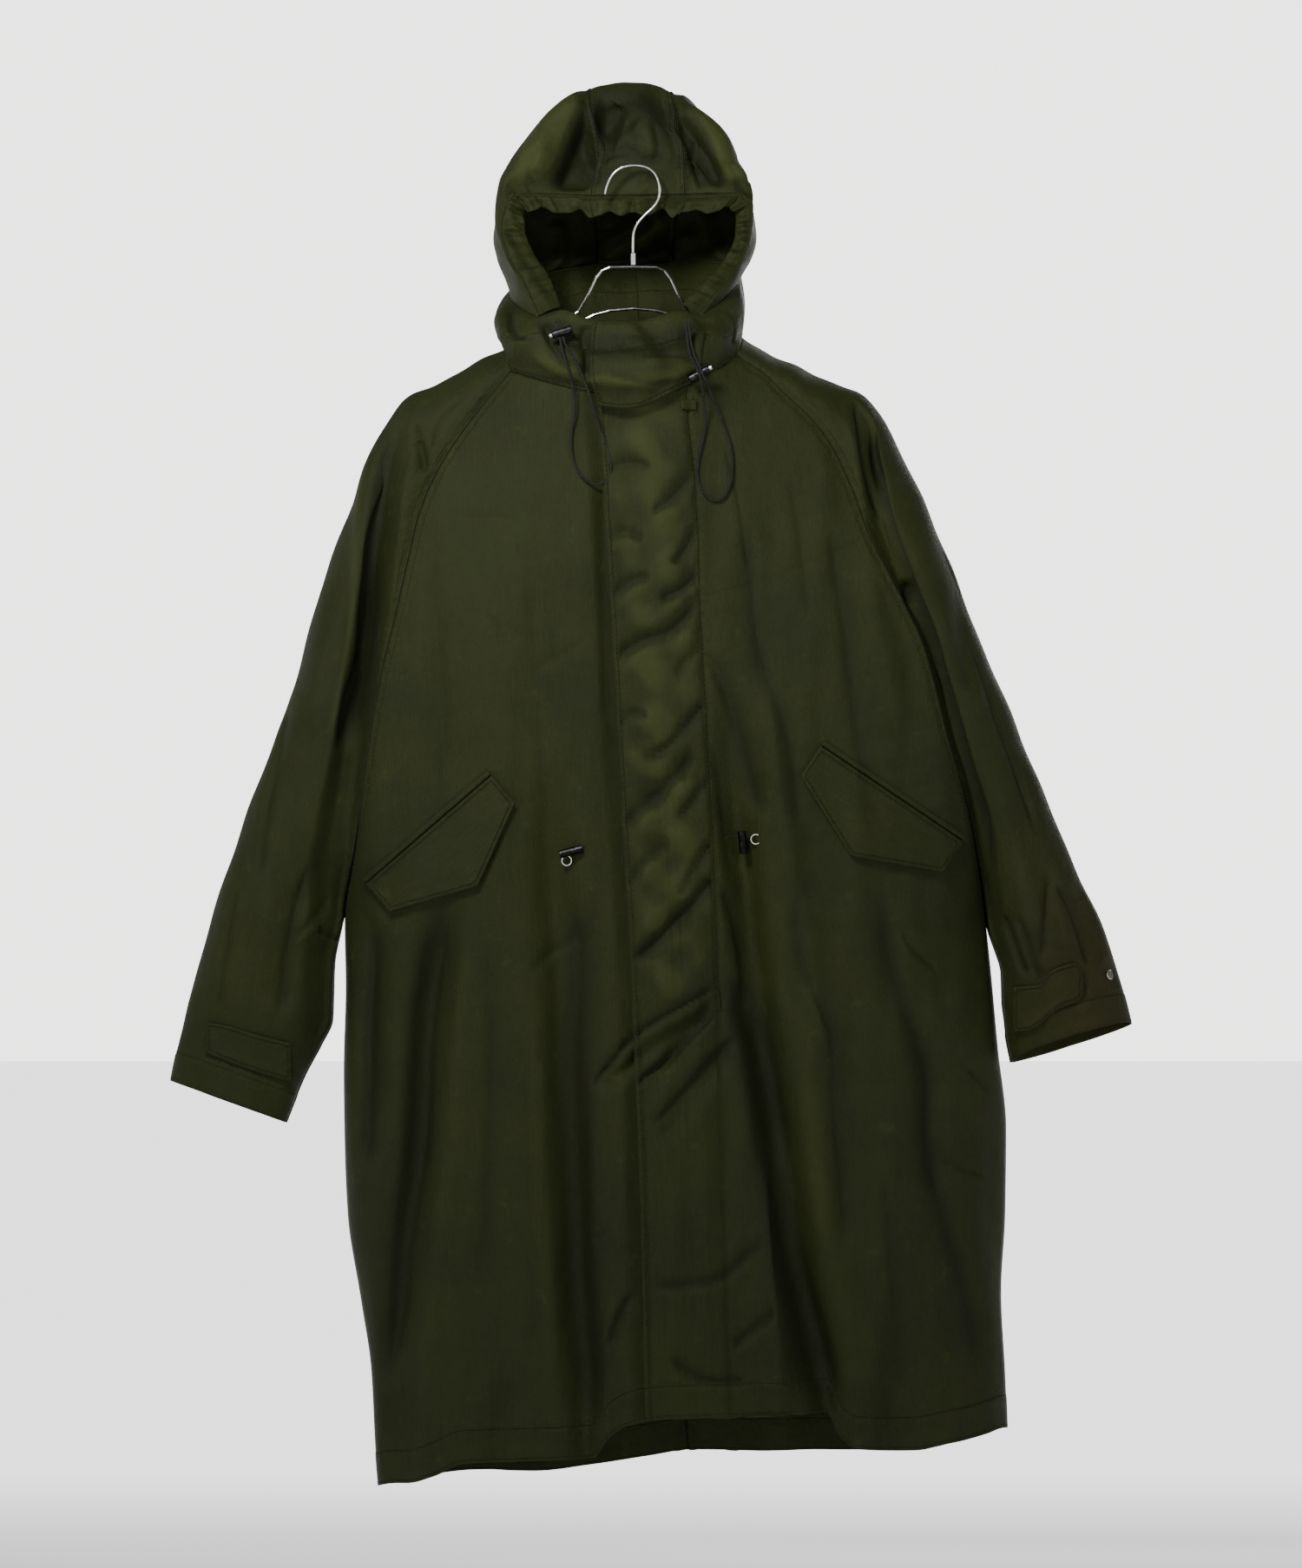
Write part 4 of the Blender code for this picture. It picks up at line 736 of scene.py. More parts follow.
BODY_INSIDE = (30, 0, -700)
ARM_ROWS = 161                  # rows from the neck to the underarm
LAP_COLUMNS = 14                # columns of the underlap, the fly and the rest of a front
FLY_COLUMNS = 30
PANEL_COLUMNS = 96
SPREAD = 1.15                   # how much closer the columns lie towards the seam
body_rows = np.concatenate([np.linspace(0, 1, ARM_ROWS), np.linspace(1, 2, ARM_ROWS)[1:]])
panels = {}


def seam_dip(distance, depth=1.2, width=2.5):
    """Groove that a seam pulls beside itself, with the seam's own edge left in place."""
    return -depth * distance / width * np.exp(1 - distance / width)


def front_grid(side, edge_columns):
    """Places across a front: x of each column, from its free edge to its seam."""
    middle = MIDDLE.at(body_rows)
    seam = (SEAM_RIGHT if side < 0 else SEAM_LEFT).at(body_rows)
    share = 1 - (1 - np.linspace(0, 1, PANEL_COLUMNS)) ** SPREAD
    if side < 0:
        first, start = middle.fly_edge + LAP_WIDTH, middle.fly_edge - LAP_BEND
    else:
        first, start = middle.fly_edge, middle.fly_stitch
    edge = across(first[:, None], start[:, None], np.linspace(0, 1, edge_columns + 1)[None, :-1])
    wide = across(start[:, None], seam.x[:, None], share[None, :])
    return np.concatenate([edge, wide], axis=1)


FLY_DIAGONALS = (
    (6, 6, (-46, -907), (-1, -853), (40, -826), (81, -803)),
    (6, 6, (-5, -902), (26, -880), (55, -850), (81, -821)),
    (9, 4, (13, -943), (60, -890), (99, -848)))
RIGHT_CREASES = FLY_DIAGONALS + (
    (12, 1.6, (-199, -330), (-196, -450), (-190, -560), (-186, -690)),
    (-12, 1.8, (-106, -380), (-97, -500), (-90, -599), (-80, -670)),
    (-24, 9, (-184, -705), (-203, -834), (-209, -948), (-223, -1038), (-232, -1129), (-250, -1210)),
    (16, 7, (-258, -735), (-262, -800), (-266, -860), (-268, -985)),
    (28, 9, (-66, -700), (-62, -776), (-66, -889), (-58, -1061), (-44, -1250)),
    (4, 1.4, (-170, -345), (-146, -344), (-122, -346)),
    (4, 1.6, (-158, -434), (-144, -443), (-130, -454)),
    (4, 1.4, (-118, -373), (-112, -380), (-106, -388)),
    (6, 1.6, (-100, -494), (-72, -480), (-46, -462)),
    (6, 2.2, (-105, -789), (-70, -762), (-33, -730)),
    (4, 2.5, (-60, -766), (-50, -757), (-42, -748)),
    (4, 2.5, (-46, -1052), (-36, -1048), (-28, -1043)),
    (8, 5, (-28, -1156), (-18, -1128), (-5, -1102)),
    (20, 3, (-148, -740), (-142, -900), (-152, -1110)),
    (-16, 2.5, (-112, -850), (-106, -1000), (-98, -1190)),
    (5, 2.0, (-250, -700), (-236, -690), (-222, -672)),
    (14, 2.2, (-30, -300), (-34, -420), (-30, -560)))
x = front_grid(-1, LAP_COLUMNS)
down = np.broadcast_to(body_rows[:, None], x.shape)
points = body_place(x, down, True)
fly_edge = MIDDLE.at(body_rows).fly_edge[:, None]
points[..., 1] += LAP * np.clip((x - fly_edge + LAP_BEND) / 12, 0, 1)
out = outward(points, BODY_INSIDE)
_, to_seam, to_neck, to_hem = from_edges(points)
relief = crease(points[..., 0], points[..., 2], RIGHT_CREASES)
height = relief + hang(points[..., 0], points[..., 2], BODY_WAVES) * ease(0.0, 0.4, down)
height *= ease(0, 22, to_seam) * ease(-LAP_BEND, 12, fly_edge - x)
height += seam_dip(to_seam) + 0.6 * (1 - ease(HEM_TURN - 2, HEM_TURN + 1, to_hem))
height *= ease(0, 4, to_neck)
panels["front_right"] = points + out * height[..., None]
front = cloth_piece("front_right_cloth", panels["front_right"], BODY_INSIDE, OLIVE, ["front_right"],
                    edges=(to_seam, to_hem, FAR), relief=relief)
stitches("front_right_stitches", [
    inset(panels["front_right"], "low", HEM_TURN)[LAP_COLUMNS:],
    inset(panels["front_right"], "low", EDGE_ROW)[LAP_COLUMNS:],
    inset(panels["front_right"], "end", SEAM_ROW)[:ARM_ROWS]], BODY_INSIDE)

# ------------------------------------------------------------------ left front and fly
# The left front carries the fly, a double band that laps over the right front and hides the
# zip and buttons. It is stitched down about 88 mm from its edge and puckers between the rows.
FLY_FULLNESS = 5.5              # how far the fly puffs out between its edge and its stitches
FLY_STITCH_END = -812           # height at which the fly's stitches end
FLY_PROUD = 3.0                 # how far the fly's edge stands off the right front
FLY_ROW = 5.0                   # from the fly's edge to its stitches
FLY_CREASES = (
    (7, 3, (-30, -300), (-8, -292), (16, -296)),
    (9, 5, (14, -342), (36, -326), (62, -296)),
    (8, 4, (-28, -366), (-10, -360), (8, -366)),
    (9, 6, (34, -392), (48, -374), (62, -346)),
    (8, 5, (-24, -424), (-4, -408), (14, -404)),
    (8, 7, (22, -426), (44, -416), (64, -398)),
    (11, 8, (-22, -484), (4, -467), (34, -456), (62, -428)),
    (7, 4, (38, -500), (54, -482), (68, -470)),
    (9, 6, (8, -584), (38, -560), (70, -520)),
    (7, 5, (-18, -548), (-4, -538), (12, -540)),
    (12, 8, (-14, -648), (6, -630), (30, -610), (60, -574)),
    (8, 5, (40, -640), (58, -616), (74, -596)),
    (8, 5, (-8, -704), (12, -680), (34, -664)),
    (9, 6, (40, -716), (58, -686), (76, -656)),
    (12, 9, (-6, -782), (22, -754), (50, -726), (79, -690)))
LEFT_CREASES = FLY_DIAGONALS + (
    (16, 5, (66, -470), (84, -510), (100, -560), (117, -640)),
    (-30, 10, (84, -775), (117, -843), (135, -925), (142, -993), (153, -1061), (176, -1143), (192, -1230)),
    (-18, 4, (111, -345), (119, -462), (151, -559), (162, -660)),
    (20, 3.5, (188, -340), (212, -519), (230, -660)),
    (18, 4.5, (150, -690), (160, -780), (190, -843), (194, -925), (207, -1070)),
    (-20, 5, (235, -690), (258, -803), (285, -880), (289, -970), (326, -1106), (337, -1200)),
    (8, 5, (17, -1098), (50, -1096), (85, -1088), (126, -1052)),
    (10, 5, (30, -1165), (63, -1188), (110, -1190)),
    (8, 5, (94, -1156), (115, -1140), (135, -1120)),
    (5, 3, (300, -976), (321, -984), (340, -990)),
    (5, 2.5, (322, -882), (333, -892), (345, -908)),
    (6, 3, (258, -750), (276, -772), (296, -787)),
    (8, 2.5, (74, -560), (84, -640), (92, -700)),
    (12, 4, (84, -700), (100, -760), (112, -830)),
    (18, 3, (240, -980), (252, -1090), (262, -1210)),
    (12, 1.8, (150, -300), (162, -380), (170, -450)),
    (6, 1.6, (86, -270), (100, -330), (110, -400)))
x = front_grid(1, FLY_COLUMNS)
down = np.broadcast_to(body_rows[:, None], x.shape)
points = body_place(x, down, True)
middle = MIDDLE.at(body_rows)
edge_x, stitch_x = middle.fly_edge[:, None], middle.fly_stitch[:, None]
out = outward(points, BODY_INSIDE)
fly_share = np.clip((x - edge_x) / (stitch_x - edge_x), 0, 1)
held = ease(FLY_STITCH_END - 50, FLY_STITCH_END + 20, points[..., 2])
points[..., 1] -= FLY_PROUD * (1 - fly_share ** 6)
_, to_seam, to_neck, to_hem = from_edges(points)
full = FLY_FULLNESS * np.clip(4 * fly_share * (1 - fly_share), 0, 1) ** 0.6 * ease(10, 60, to_neck)
lumps = (np.sin(x / 9.0 + points[..., 2] / 13.0) * np.sin(points[..., 2] / 21.0 - x / 31.0)
         + 0.6 * np.sin(points[..., 2] / 7.3 + 1.3 * np.sin(x / 17.0)) * np.sin(x / 13.0 + 1.0))
puckers = 2.2 * lumps * np.sin(np.pi * fly_share)
puckers += crease(x, points[..., 2], FLY_CREASES) * (1 - ease(0.94, 1.0, fly_share))
puckers *= held
height = held * full + puckers
height -= held * 1.6 * np.exp(-((x - stitch_x) / 2.6) ** 2)
relief = crease(points[..., 0], points[..., 2], LEFT_CREASES)
over_left = relief + hang(points[..., 0], points[..., 2], BODY_WAVES) * ease(0.0, 0.4, down)
height += over_left * ease(0, 22, to_seam)
height += seam_dip(to_seam) + 0.6 * (1 - ease(HEM_TURN - 2, HEM_TURN + 1, to_hem))
height *= ease(0, 4, to_neck)
panels["front_left"] = points + out * height[..., None]
fly_line = np.where(held > 0.5, np.minimum(x - edge_x, np.abs(x - stitch_x) + FLY_ROW), x - edge_x)
# The fly's relief adds its puckers and 3 mm over its puffed middle, so the finish paints a highlight
# there.
front = cloth_piece("front_left_cloth", panels["front_left"], BODY_INSIDE, OLIVE,
                    ["front_left", "fly_placket"], edges=(to_seam, to_hem, fly_line),
                    relief=relief + puckers + 3.0 * held * np.sin(np.pi * fly_share))
fly_end = int(np.argmax(panels["front_left"][:, FLY_COLUMNS, 2] < FLY_STITCH_END))
stitches("front_left_stitches", [
    inset(panels["front_left"], "low", HEM_TURN),
    inset(panels["front_left"], "low", EDGE_ROW),
    inset(panels["front_left"], "start", FLY_ROW),
    inset(panels["front_left"], "end", SEAM_ROW)[:ARM_ROWS],
    panels["front_left"][:fly_end, FLY_COLUMNS]], BODY_INSIDE)

# ------------------------------------------------------------------ back
# Two halves joined by a centre seam, with a closed vent near the hem. The back hangs lower
# than the fronts.
BACK_FOLDS = (
    (-150, -420, -205, -1340, 6, 18, 11),
    (-40, -620, -70, -1340, -4, 17, 8),
    (110, -560, 150, -1340, 5, 18, 11),
    (200, -480, 262, -1340, -6, 16, 9),
    (290, -800, 310, -1180, 0, 14, 6),
    (-250, -800, -240, -1150, 0, 14, 6))
BACK_CREASES = (
    (10, 4, (-60, -230), (-66, -400), (-82, -560)),
    (-10, 4, (70, -240), (84, -400), (96, -580)),
    (12, 6, (-150, -400), (-168, -700), (-186, -960), (-205, -1240)),
    (-12, 6, (112, -540), (128, -800), (140, -1010), (152, -1240)),
    (-10, 5, (-46, -640), (-60, -900), (-66, -1220)),
    (10, 5, (206, -470), (226, -760), (244, -980), (262, -1230)),
    (9, 4, (-110, -860), (-118, -1020), (-122, -1220)),
    (9, 4, (44, -800), (56, -960), (64, -1210)),
    (9, 4, (-236, -780), (-244, -960), (-236, -1180)),
    (-9, 4, (292, -780), (304, -960), (318, -1170)),
    (6, 2.5, (-30, -480), (0, -470), (36, -486)),
    (6, 2.5, (-120, -660), (-96, -690), (-70, -704)),
    (6, 2.5, (150, -640), (176, -676), (198, -690)))
HALF_COLUMNS = 71
for side, word in ((-1, "right"), (1, "left")):
    middle = MIDDLE.at(body_rows)
    seam = (SEAM_RIGHT if side < 0 else SEAM_LEFT).at(body_rows)
    share = 1 - (1 - np.linspace(0, 1, HALF_COLUMNS)) ** SPREAD
    x = across(middle.x[:, None], seam.x[:, None], share[None, :])
    down = np.broadcast_to(body_rows[:, None], x.shape)
    points = body_place(x, down, False)
    to_middle, to_seam, to_neck, to_hem = from_edges(points)
    relief = crease(points[..., 0], points[..., 2], BACK_CREASES)
    height = relief + hang(points[..., 0], points[..., 2], BODY_WAVES) * ease(0.0, 0.4, down)
    height *= ease(0, 22, to_seam) * ease(0, 22, to_middle)
    height += seam_dip(to_seam) + seam_dip(to_middle)
    height += 0.6 * (1 - ease(HEM_TURN - 2, HEM_TURN + 1, to_hem))
    height *= ease(0, 4, to_neck)
    panels["back_" + word] = points + outward(points, BODY_INSIDE) * height[..., None]
    back = cloth_piece("back_" + word + "_cloth", panels["back_" + word], BODY_INSIDE, OLIVE,
                       ["back_" + word], edges=(np.minimum(to_seam, to_middle), to_hem, FAR),
                       relief=relief)
    stitches("back_" + word + "_stitches", [
        inset(panels["back_" + word], "low", HEM_TURN),
        inset(panels["back_" + word], "low", EDGE_ROW),
        inset(panels["back_" + word], "start", SEAM_ROW),
        inset(panels["back_" + word], "end", SEAM_ROW)[:ARM_ROWS]], BODY_INSIDE)

# ------------------------------------------------------------------ sleeves
# Raglan sleeves that run to the neck, each a tube from the underarm to the cuff. They hang
# collapsed beside the body with a deep fold down the front.
# The outer edge, the depth in front and behind, how sharp the outer edge is, and the deep
# crease beside the main tube (its place from seam 0 to outer edge 1).
SLEEVE_RIGHT = Table(
    "down x z front back round crease_at crease",
    (0.00, -127, -176, 40, 32, 0.80, 0.88, 0),
    (0.08, -160, -193, 43, 36, 0.80, 0.88, 0),
    (0.16, -197, -214, 46, 40, 0.80, 0.88, 0),
    (0.24, -232, -232, 48, 42, 0.75, 0.88, 0),
    (0.32, -252, -262, 50, 44, 0.65, 0.84, 8),
    (0.42, -270, -310, 54, 46, 0.55, 0.74, 14),
    (0.52, -290, -357, 58, 48, 0.50, 0.60, 20),
    (0.62, -309, -414, 60, 50, 0.50, 0.51, 24),
    (0.72, -328, -481, 61, 50, 0.50, 0.44, 24),
    (0.82, -355, -564, 60, 50, 0.50, 0.37, 20),
    (0.91, -383, -636, 57, 47, 0.50, 0.36, 13),
    (1.00, -404, -697, 54, 44, 0.50, 0.27, 10),
    (1.20, -419, -746, 48, 40, 0.50, 0.22, 9),
    (1.50, -434, -801, 42, 34, 0.50, 0.19, 8),
    (1.65, -442, -827, 38, 30, 0.50, 0.14, 4),
    (1.80, -448, -853, 34, 26, 0.50, 0.10, 0),
    (2.00, -456, -896, 32, 22, 0.50, 0.10, 0))
SLEEVE_LEFT = Table(
    "down x z front back round crease_at crease",
    (0.00, 104, -167, 40, 32, 0.80, 0.88, 0),
    (0.08, 139, -187, 43, 36, 0.80, 0.88, 0),
    (0.16, 180, -205, 46, 40, 0.80, 0.88, 0),
    (0.24, 220, -223, 48, 42, 0.75, 0.88, 3),
    (0.32, 240, -241, 50, 44, 0.65, 0.84, 9),
    (0.42, 258, -277, 54, 46, 0.55, 0.62, 14),
    (0.52, 280, -323, 58, 48, 0.50, 0.42, 16),
    (0.62, 302, -376, 60, 50, 0.50, 0.32, 16),
    (0.72, 331, -446, 61, 50, 0.50, 0.26, 15),
    (0.82, 367, -536, 60, 50, 0.50, 0.22, 14),
    (0.91, 403, -620, 57, 47, 0.50, 0.20, 13),
    (1.00, 436, -699, 54, 44, 0.50, 0.17, 10),
    (1.20, 450, -731, 50, 40, 0.50, 0.12, 5),
    (1.50, 467, -771, 44, 34, 0.50, 0.10, 0),
    (1.65, 473, -789, 40, 30, 0.50, 0.10, 0),
    (1.80, 479, -810, 37, 26, 0.50, 0.10, 0),
    (2.00, 486, -840, 34, 22, 0.50, 0.10, 0))
# Inner edge of each sleeve below the underarm.
INNER_RIGHT = Table(
    "down x z",
    (1.00, -287, -741), (1.20, -295, -782), (1.50, -297, -836), (1.65, -308, -861),
    (1.80, -324, -891), (2.00, -343, -937))
INNER_LEFT = Table(
    "down x z",
    (1.00, 345, -752), (1.20, 357, -790), (1.50, 358, -820), (1.65, 360, -836),
    (1.80, 362, -853), (2.00, 367, -878))
SLEEVE_FOLDS = (
    (-215, -268, -207, -302, 0, 7, 4),
    (-330, -700, -352, -830, 0, 16, 5),
    (300, -352, 330, -520, 0, 9, 6),
    (360, -560, 420, -760, 4, 14, 6),
    (430, -700, 452, -780, 0, 12, 5))
SLEEVE_CREASES_FRONT = (
    (10, 15, (-244, -255), (-257, -321), (-263, -397), (-269, -473), (-280, -523), (-293, -580)),
    (6, 3.5, (-218, -250), (-213, -270), (-206, -300)),
    (6, 2, (-176, -226), (-192, -250), (-200, -280)),
    (8, 4, (-318, -680), (-332, -720), (-342, -770), (-350, -840)),
    (6, 3, (-300, -720), (-318, -742), (-336, -756)),
    (8, 3, (-340, -520), (-356, -600), (-372, -700)),
    (5, 4, (-312, -748), (-300, -756), (-290, -760)),
    (7, 3, (-392, -700), (-404, -770), (-412, -830)),
    (6, 9, (236, -240), (232, -283), (248, -347), (261, -385), (278, -432), (295, -483), (316, -560),
     (337, -636), (348, -700)),
    (5, 9, (261, -404), (266, -430), (269, -456)),
    (7, 5, (214, -226), (222, -290), (240, -350)),
    (8, 3.5, (326, -460), (360, -560), (394, -660)),
    (6, 5, (356, -730), (366, -760), (382, -795)),
    (6, 4, (372, -735), (386, -770), (400, -800)),
    (8, 4, (412, -700), (432, -745), (444, -785)),
    (6, 3, (404, -690), (400, -740), (396, -780)))
SLEEVE_CREASES_BACK = (
    (9, 4, (-206, -250), (-232, -330), (-256, -440)),
    (-9, 5, (-262, -410), (-292, -540), (-318, -640)),
    (9, 5, (-310, -590), (-340, -700), (-366, -800)),
    (8, 4, (-366, -710), (-386, -800), (-402, -880)),
    (8, 4, (-246, -350), (-258, -460), (-268, -570)),
    (9, 4, (206, -250), (226, -330), (246, -420)),
    (-9, 5, (262, -390), (296, -500), (326, -600)),
    (9, 5, (322, -550), (360, -650), (392, -740)),
    (8, 4, (398, -650), (424, -740), (444, -820)),
    (8, 4, (250, -330), (272, -430), (294, -530)))
SLEEVE_WAVES = ((0.9, 62, 700, 0.2), (0.5, 34, -420, 1.2), (0.6, 260, 95, 2.0))
SLEEVE_FRONT_COLUMNS = 76
SLEEVE_BACK_COLUMNS = 38
CREASE_REACH = 0.2              # half width of the deep crease, as a share of the sleeve
CUFF_TURN = 29.0                # from the cuff's edge up to its stitches
CUFF_DEPTH = 34                 # from the middle of the left cuff's mouth to its front edge


def sleeve_panel(side, arm_rows, cuff_rows):
    """Grid of a sleeve: front seam or inner edge, outer edge, back seam or inner edge."""
    rows = np.concatenate([arm_rows, cuff_rows[1:]])
    table = SLEEVE_RIGHT if side < 0 else SLEEVE_LEFT
    seam = (SEAM_RIGHT if side < 0 else SEAM_LEFT).at(np.minimum(rows, 1.0))
    inner = (INNER_RIGHT if side < 0 else INNER_LEFT).at(np.maximum(rows, 1.0))
    lower = rows > 0.999
    start_x = np.where(lower, inner.x, seam.x)
    start_z = np.where(lower, inner.z, seam.z)
    outer = table.at(rows)
    ring = ease(0.86, 1.1, rows)[:, None]
    halves = []
    for count, depth, seam_depth, sign, lift in (
            (SLEEVE_FRONT_COLUMNS, outer.front, seam.deep, -1, 0.0),
            (SLEEVE_BACK_COLUMNS, outer.back, seam.back_deep, 1, 1.0)):
        even = np.linspace(0, 1, count + 1)[None, :]
        share = (1 - (1 - even) ** 1.5) * (1 - ring) + (0.5 - 0.5 * np.cos(np.pi * even)) * ring
        x = across(start_x[:, None], outer.x[:, None], share)
        first_z = (start_z + lift * np.where(lower, 0.0, back_lift(rows)))[:, None]
        z = across(first_z, outer.z[:, None], share)
        seam_y = np.where(lower, 0.0, seam_depth)[:, None]
        deep = depth[:, None]
        open_part = deep * (1 - share ** 2.2) ** outer.round[:, None]
        open_part = open_part + (seam_y - deep) * (1 - share) ** 3
        round_part = deep * np.sqrt(np.clip(4 * share * (1 - share), 0, 1))
        y = open_part * (1 - ring) + round_part * ring
        offset = (outer.crease_at[:, None] - share) / CREASE_REACH
        dip = ease(-0.2, 0.7, offset) * (1 - ease(0.9, 2.4, offset))
        calm = ease(0.0, 0.12, share) * (1 - ease(0.94, 1.0, share))
        strength = 1.0 if sign < 0 else 0.6
        y = y - strength * outer.crease[:, None] * dip * ease(0.0, 0.08, share)
        if sign < 0:
            y = y - push(x, z, SLEEVE_FOLDS) * calm
        halves.append(stack(x, sign * y, z))
    front, back = halves
    return np.concatenate([front, back[:, -2::-1]], axis=1)


arm_rows = np.linspace(0, 1, ARM_ROWS)
cuff_rows = np.linspace(1, 2, 71)
for side, word in ((-1, "right"), (1, "left")):
    points = sleeve_panel(side, arm_rows, cuff_rows)
    middle = points.mean(axis=1, keepdims=True)
    # The left cuff's front edge is drawn up by up to 7 mm and its back edge hangs 5 mm lower.
    if side > 0:
        open_mouth = ease(1.75, 2.0, np.concatenate([arm_rows, cuff_rows[1:]]))[:, None]
        drop = np.where(points[..., 1] < 0, 7, -5) * np.abs(points[..., 1]) / CUFF_DEPTH
        points[..., 2] += drop * open_mouth
    to_front, to_back, to_neck, to_cuff = from_edges(points)
    x, z = points[..., 0], points[..., 2]
    in_front = 1 - ease(-8, 8, points[..., 1])
    relief = crease(x, z, SLEEVE_CREASES_FRONT) * in_front
    relief += crease(x, z, SLEEVE_CREASES_BACK) * (1 - in_front)
    height = relief + hang(x, z, SLEEVE_WAVES)
    height *= ease(0, 18, to_front) * ease(0, 18, to_back)
    height += seam_dip(to_front) + seam_dip(to_back)
    height += 0.6 * (1 - ease(CUFF_TURN - 2, CUFF_TURN + 1, to_cuff))
    height *= ease(0, 4, to_neck)
    panels["sleeve_" + word] = points + outward(points, middle) * height[..., None]
    sleeve = cloth_piece("sleeve_" + word + "_cloth", panels["sleeve_" + word], middle, OLIVE,
                         ["sleeve_" + word], edges=(np.minimum(to_front, to_back), to_cuff + 3, FAR),
                         relief=relief)
    stitches("sleeve_" + word + "_stitches", [
        inset(panels["sleeve_" + word], "low", CUFF_TURN),
        inset(panels["sleeve_" + word], "low", EDGE_ROW)], middle[-1, 0])

# ------------------------------------------------------------------ hood
# Three panels: two sides and a centre strip from the brim to the neck. It hangs collapsed,
# with deep valleys beside the centre strip.
# The seams of the centre panel from the brim (0) over the crown to the neck (1), the widest
# place of each side panel, and the edge of the face opening.
HOOD_SEAM_RIGHT = Table(
    "along x y z",
    (0.00, -44, 17, -29), (0.10, -44, 16, 5), (0.20, -45, 23, 42), (0.30, -47, 40, 68),
    (0.42, -46, 70, 79), (0.55, -43, 104, 64), (0.68, -42, 126, 16), (0.80, -41, 131, -32),
    (0.90, -39, 126, -66), (1.00, -38, 114, -93))
HOOD_SEAM_LEFT = Table(
    "along x y z",
    (0.00, 48, 17, -28), (0.10, 47, 16, 5), (0.20, 46, 23, 42), (0.30, 42, 40, 66),
    (0.42, 35, 70, 76), (0.55, 36, 104, 62), (0.68, 38, 126, 16), (0.80, 38, 131, -32),
    (0.90, 37, 126, -66), (1.00, 36, 114, -92))
HOOD_SIDE_RIGHT = Table(
    "along x y z",
    (0.00, -84, 15, -27), (0.15, -99, 16, 14), (0.30, -110, 30, 20), (0.42, -118, 48, 4),
    (0.55, -127, 60, -20), (0.68, -132, 66, -50), (0.80, -131, 60, -75),
    (0.90, -126, 50, -97), (1.00, -121, 32, -116))
HOOD_SIDE_LEFT = Table(
    "along x y z",
    (0.00, 79, 15, -27), (0.15, 84, 16, 14), (0.30, 90, 30, 20), (0.42, 99, 48, 3),
    (0.55, 109, 60, -20), (0.68, 114, 66, -50), (0.80, 112, 60, -74),
    (0.90, 106, 50, -90), (1.00, 102, 30, -100))
OPENING_RIGHT = Table(
    "along x y z",
    (0.00, -122, 9, -26), (0.20, -132, 5, -42), (0.40, -135, 0, -62), (0.60, -128, -16, -88),
    (0.80, -112, -38, -115), (1.00, -97, -56, -148))
OPENING_LEFT = Table(
    "along x y z",
    (0.00, 106, 10, -26), (0.20, 115, 5, -42), (0.40, 113, 0, -66), (0.60, 104, -14, -93),
    (0.80, 88, -36, -116), (1.00, 64, -56, -147))
HOOD_FOLDS = (
    (-26, 76, -74, -24, 0, 17, 17),
    (6, 84, 98, -18, -8, 13, 13),
    (-6, 50, 30, -2, 0, 16, -5),
    (-112, -20, -128, -80, 0, 12, 5),
    (96, -30, 108, -80, 0, 12, 5))
HOOD_CREASES = (
    (34, 20, (-22, 88), (-46, 40), (-70, -26)),
    (-12, 8, (-18, 74), (-30, 44), (-40, 20), (-46, -14)),
    (-20, 14, (14, 88), (40, 52), (62, 24), (84, -22)),
    (-24, -7, (30, 92), (66, 56), (84, 24), (98, -20)),
    (24, -7, (-40, 88), (-84, 44), (-104, -12)),
    (9, 5, (-40, 10), (-10, 14), (10, 4), (36, 8)),
    (9, 6, (40, -2), (54, 8), (62, -6)),
    (6, 3, (-12, 50), (-8, 36), (4, 26)),
    (6, 3, (18, 46), (22, 20), (16, 4)),
    (6, 4, (54, 4), (60, -8), (64, -22)),
    (7, 3, (-96, 20), (-106, -6), (-104, -30)),
    (6, 3, (-116, -20), (-124, -50), (-126, -86)),
    (6, 3, (-100, -50), (-112, -80), (-116, -106)),
    (7, 3, (90, 10), (100, -20), (104, -50)),
    (6, 3, (98, -52), (106, -76), (102, -96)))
HOOD_BACK_CREASES = (
    (16, 10, (20, -50), (-30, -80), (-70, -112)),
    (14, 10, (66, -64), (20, -92), (-24, -112)),
    (12, 8, (70, -40), (80, -76), (84, -104)),
    (12, 8, (-84, -50), (-76, -80), (-82, -108)),
    (-14, -8, (40, -44), (0, -66), (-50, -90)),
    (12, 8, (-30, 30), (-24, -10), (-34, -60)),
    (12, 8, (30, 30), (34, -10), (26, -60)))
# Where the crown's corners stand out: a place seen from the front and a height.
HOOD_CORNERS = ((-60, 72, 4.5), (52, 66, 6.0))
CORNER_SPREAD = 700             # square of the distance at which that height has faded to a third
HOOD_INSIDE = (-10, 62, -30)
CROWN = 7                       # rise of the centre panel between its seams
SIDE_COLUMNS = 61
CENTRE_COLUMNS = 41


def hood_radial(points):
    """Direction away from the middle of the head space."""
    away = points - np.array(HOOD_INSIDE, dtype=float)
    return away / np.linalg.norm(away, axis=-1, keepdims=True)


def hood_folded(points):
    """Hood points pushed in where folds run down from the crown."""
    facing = 1 - ease(45, 75, points[..., 1])
    amount = push(points[..., 0], points[..., 2], HOOD_FOLDS) * facing
    calm = ease(-30, -12, points[..., 2])[..., None]
    return points - hood_radial(points) * (amount[..., None] * calm)


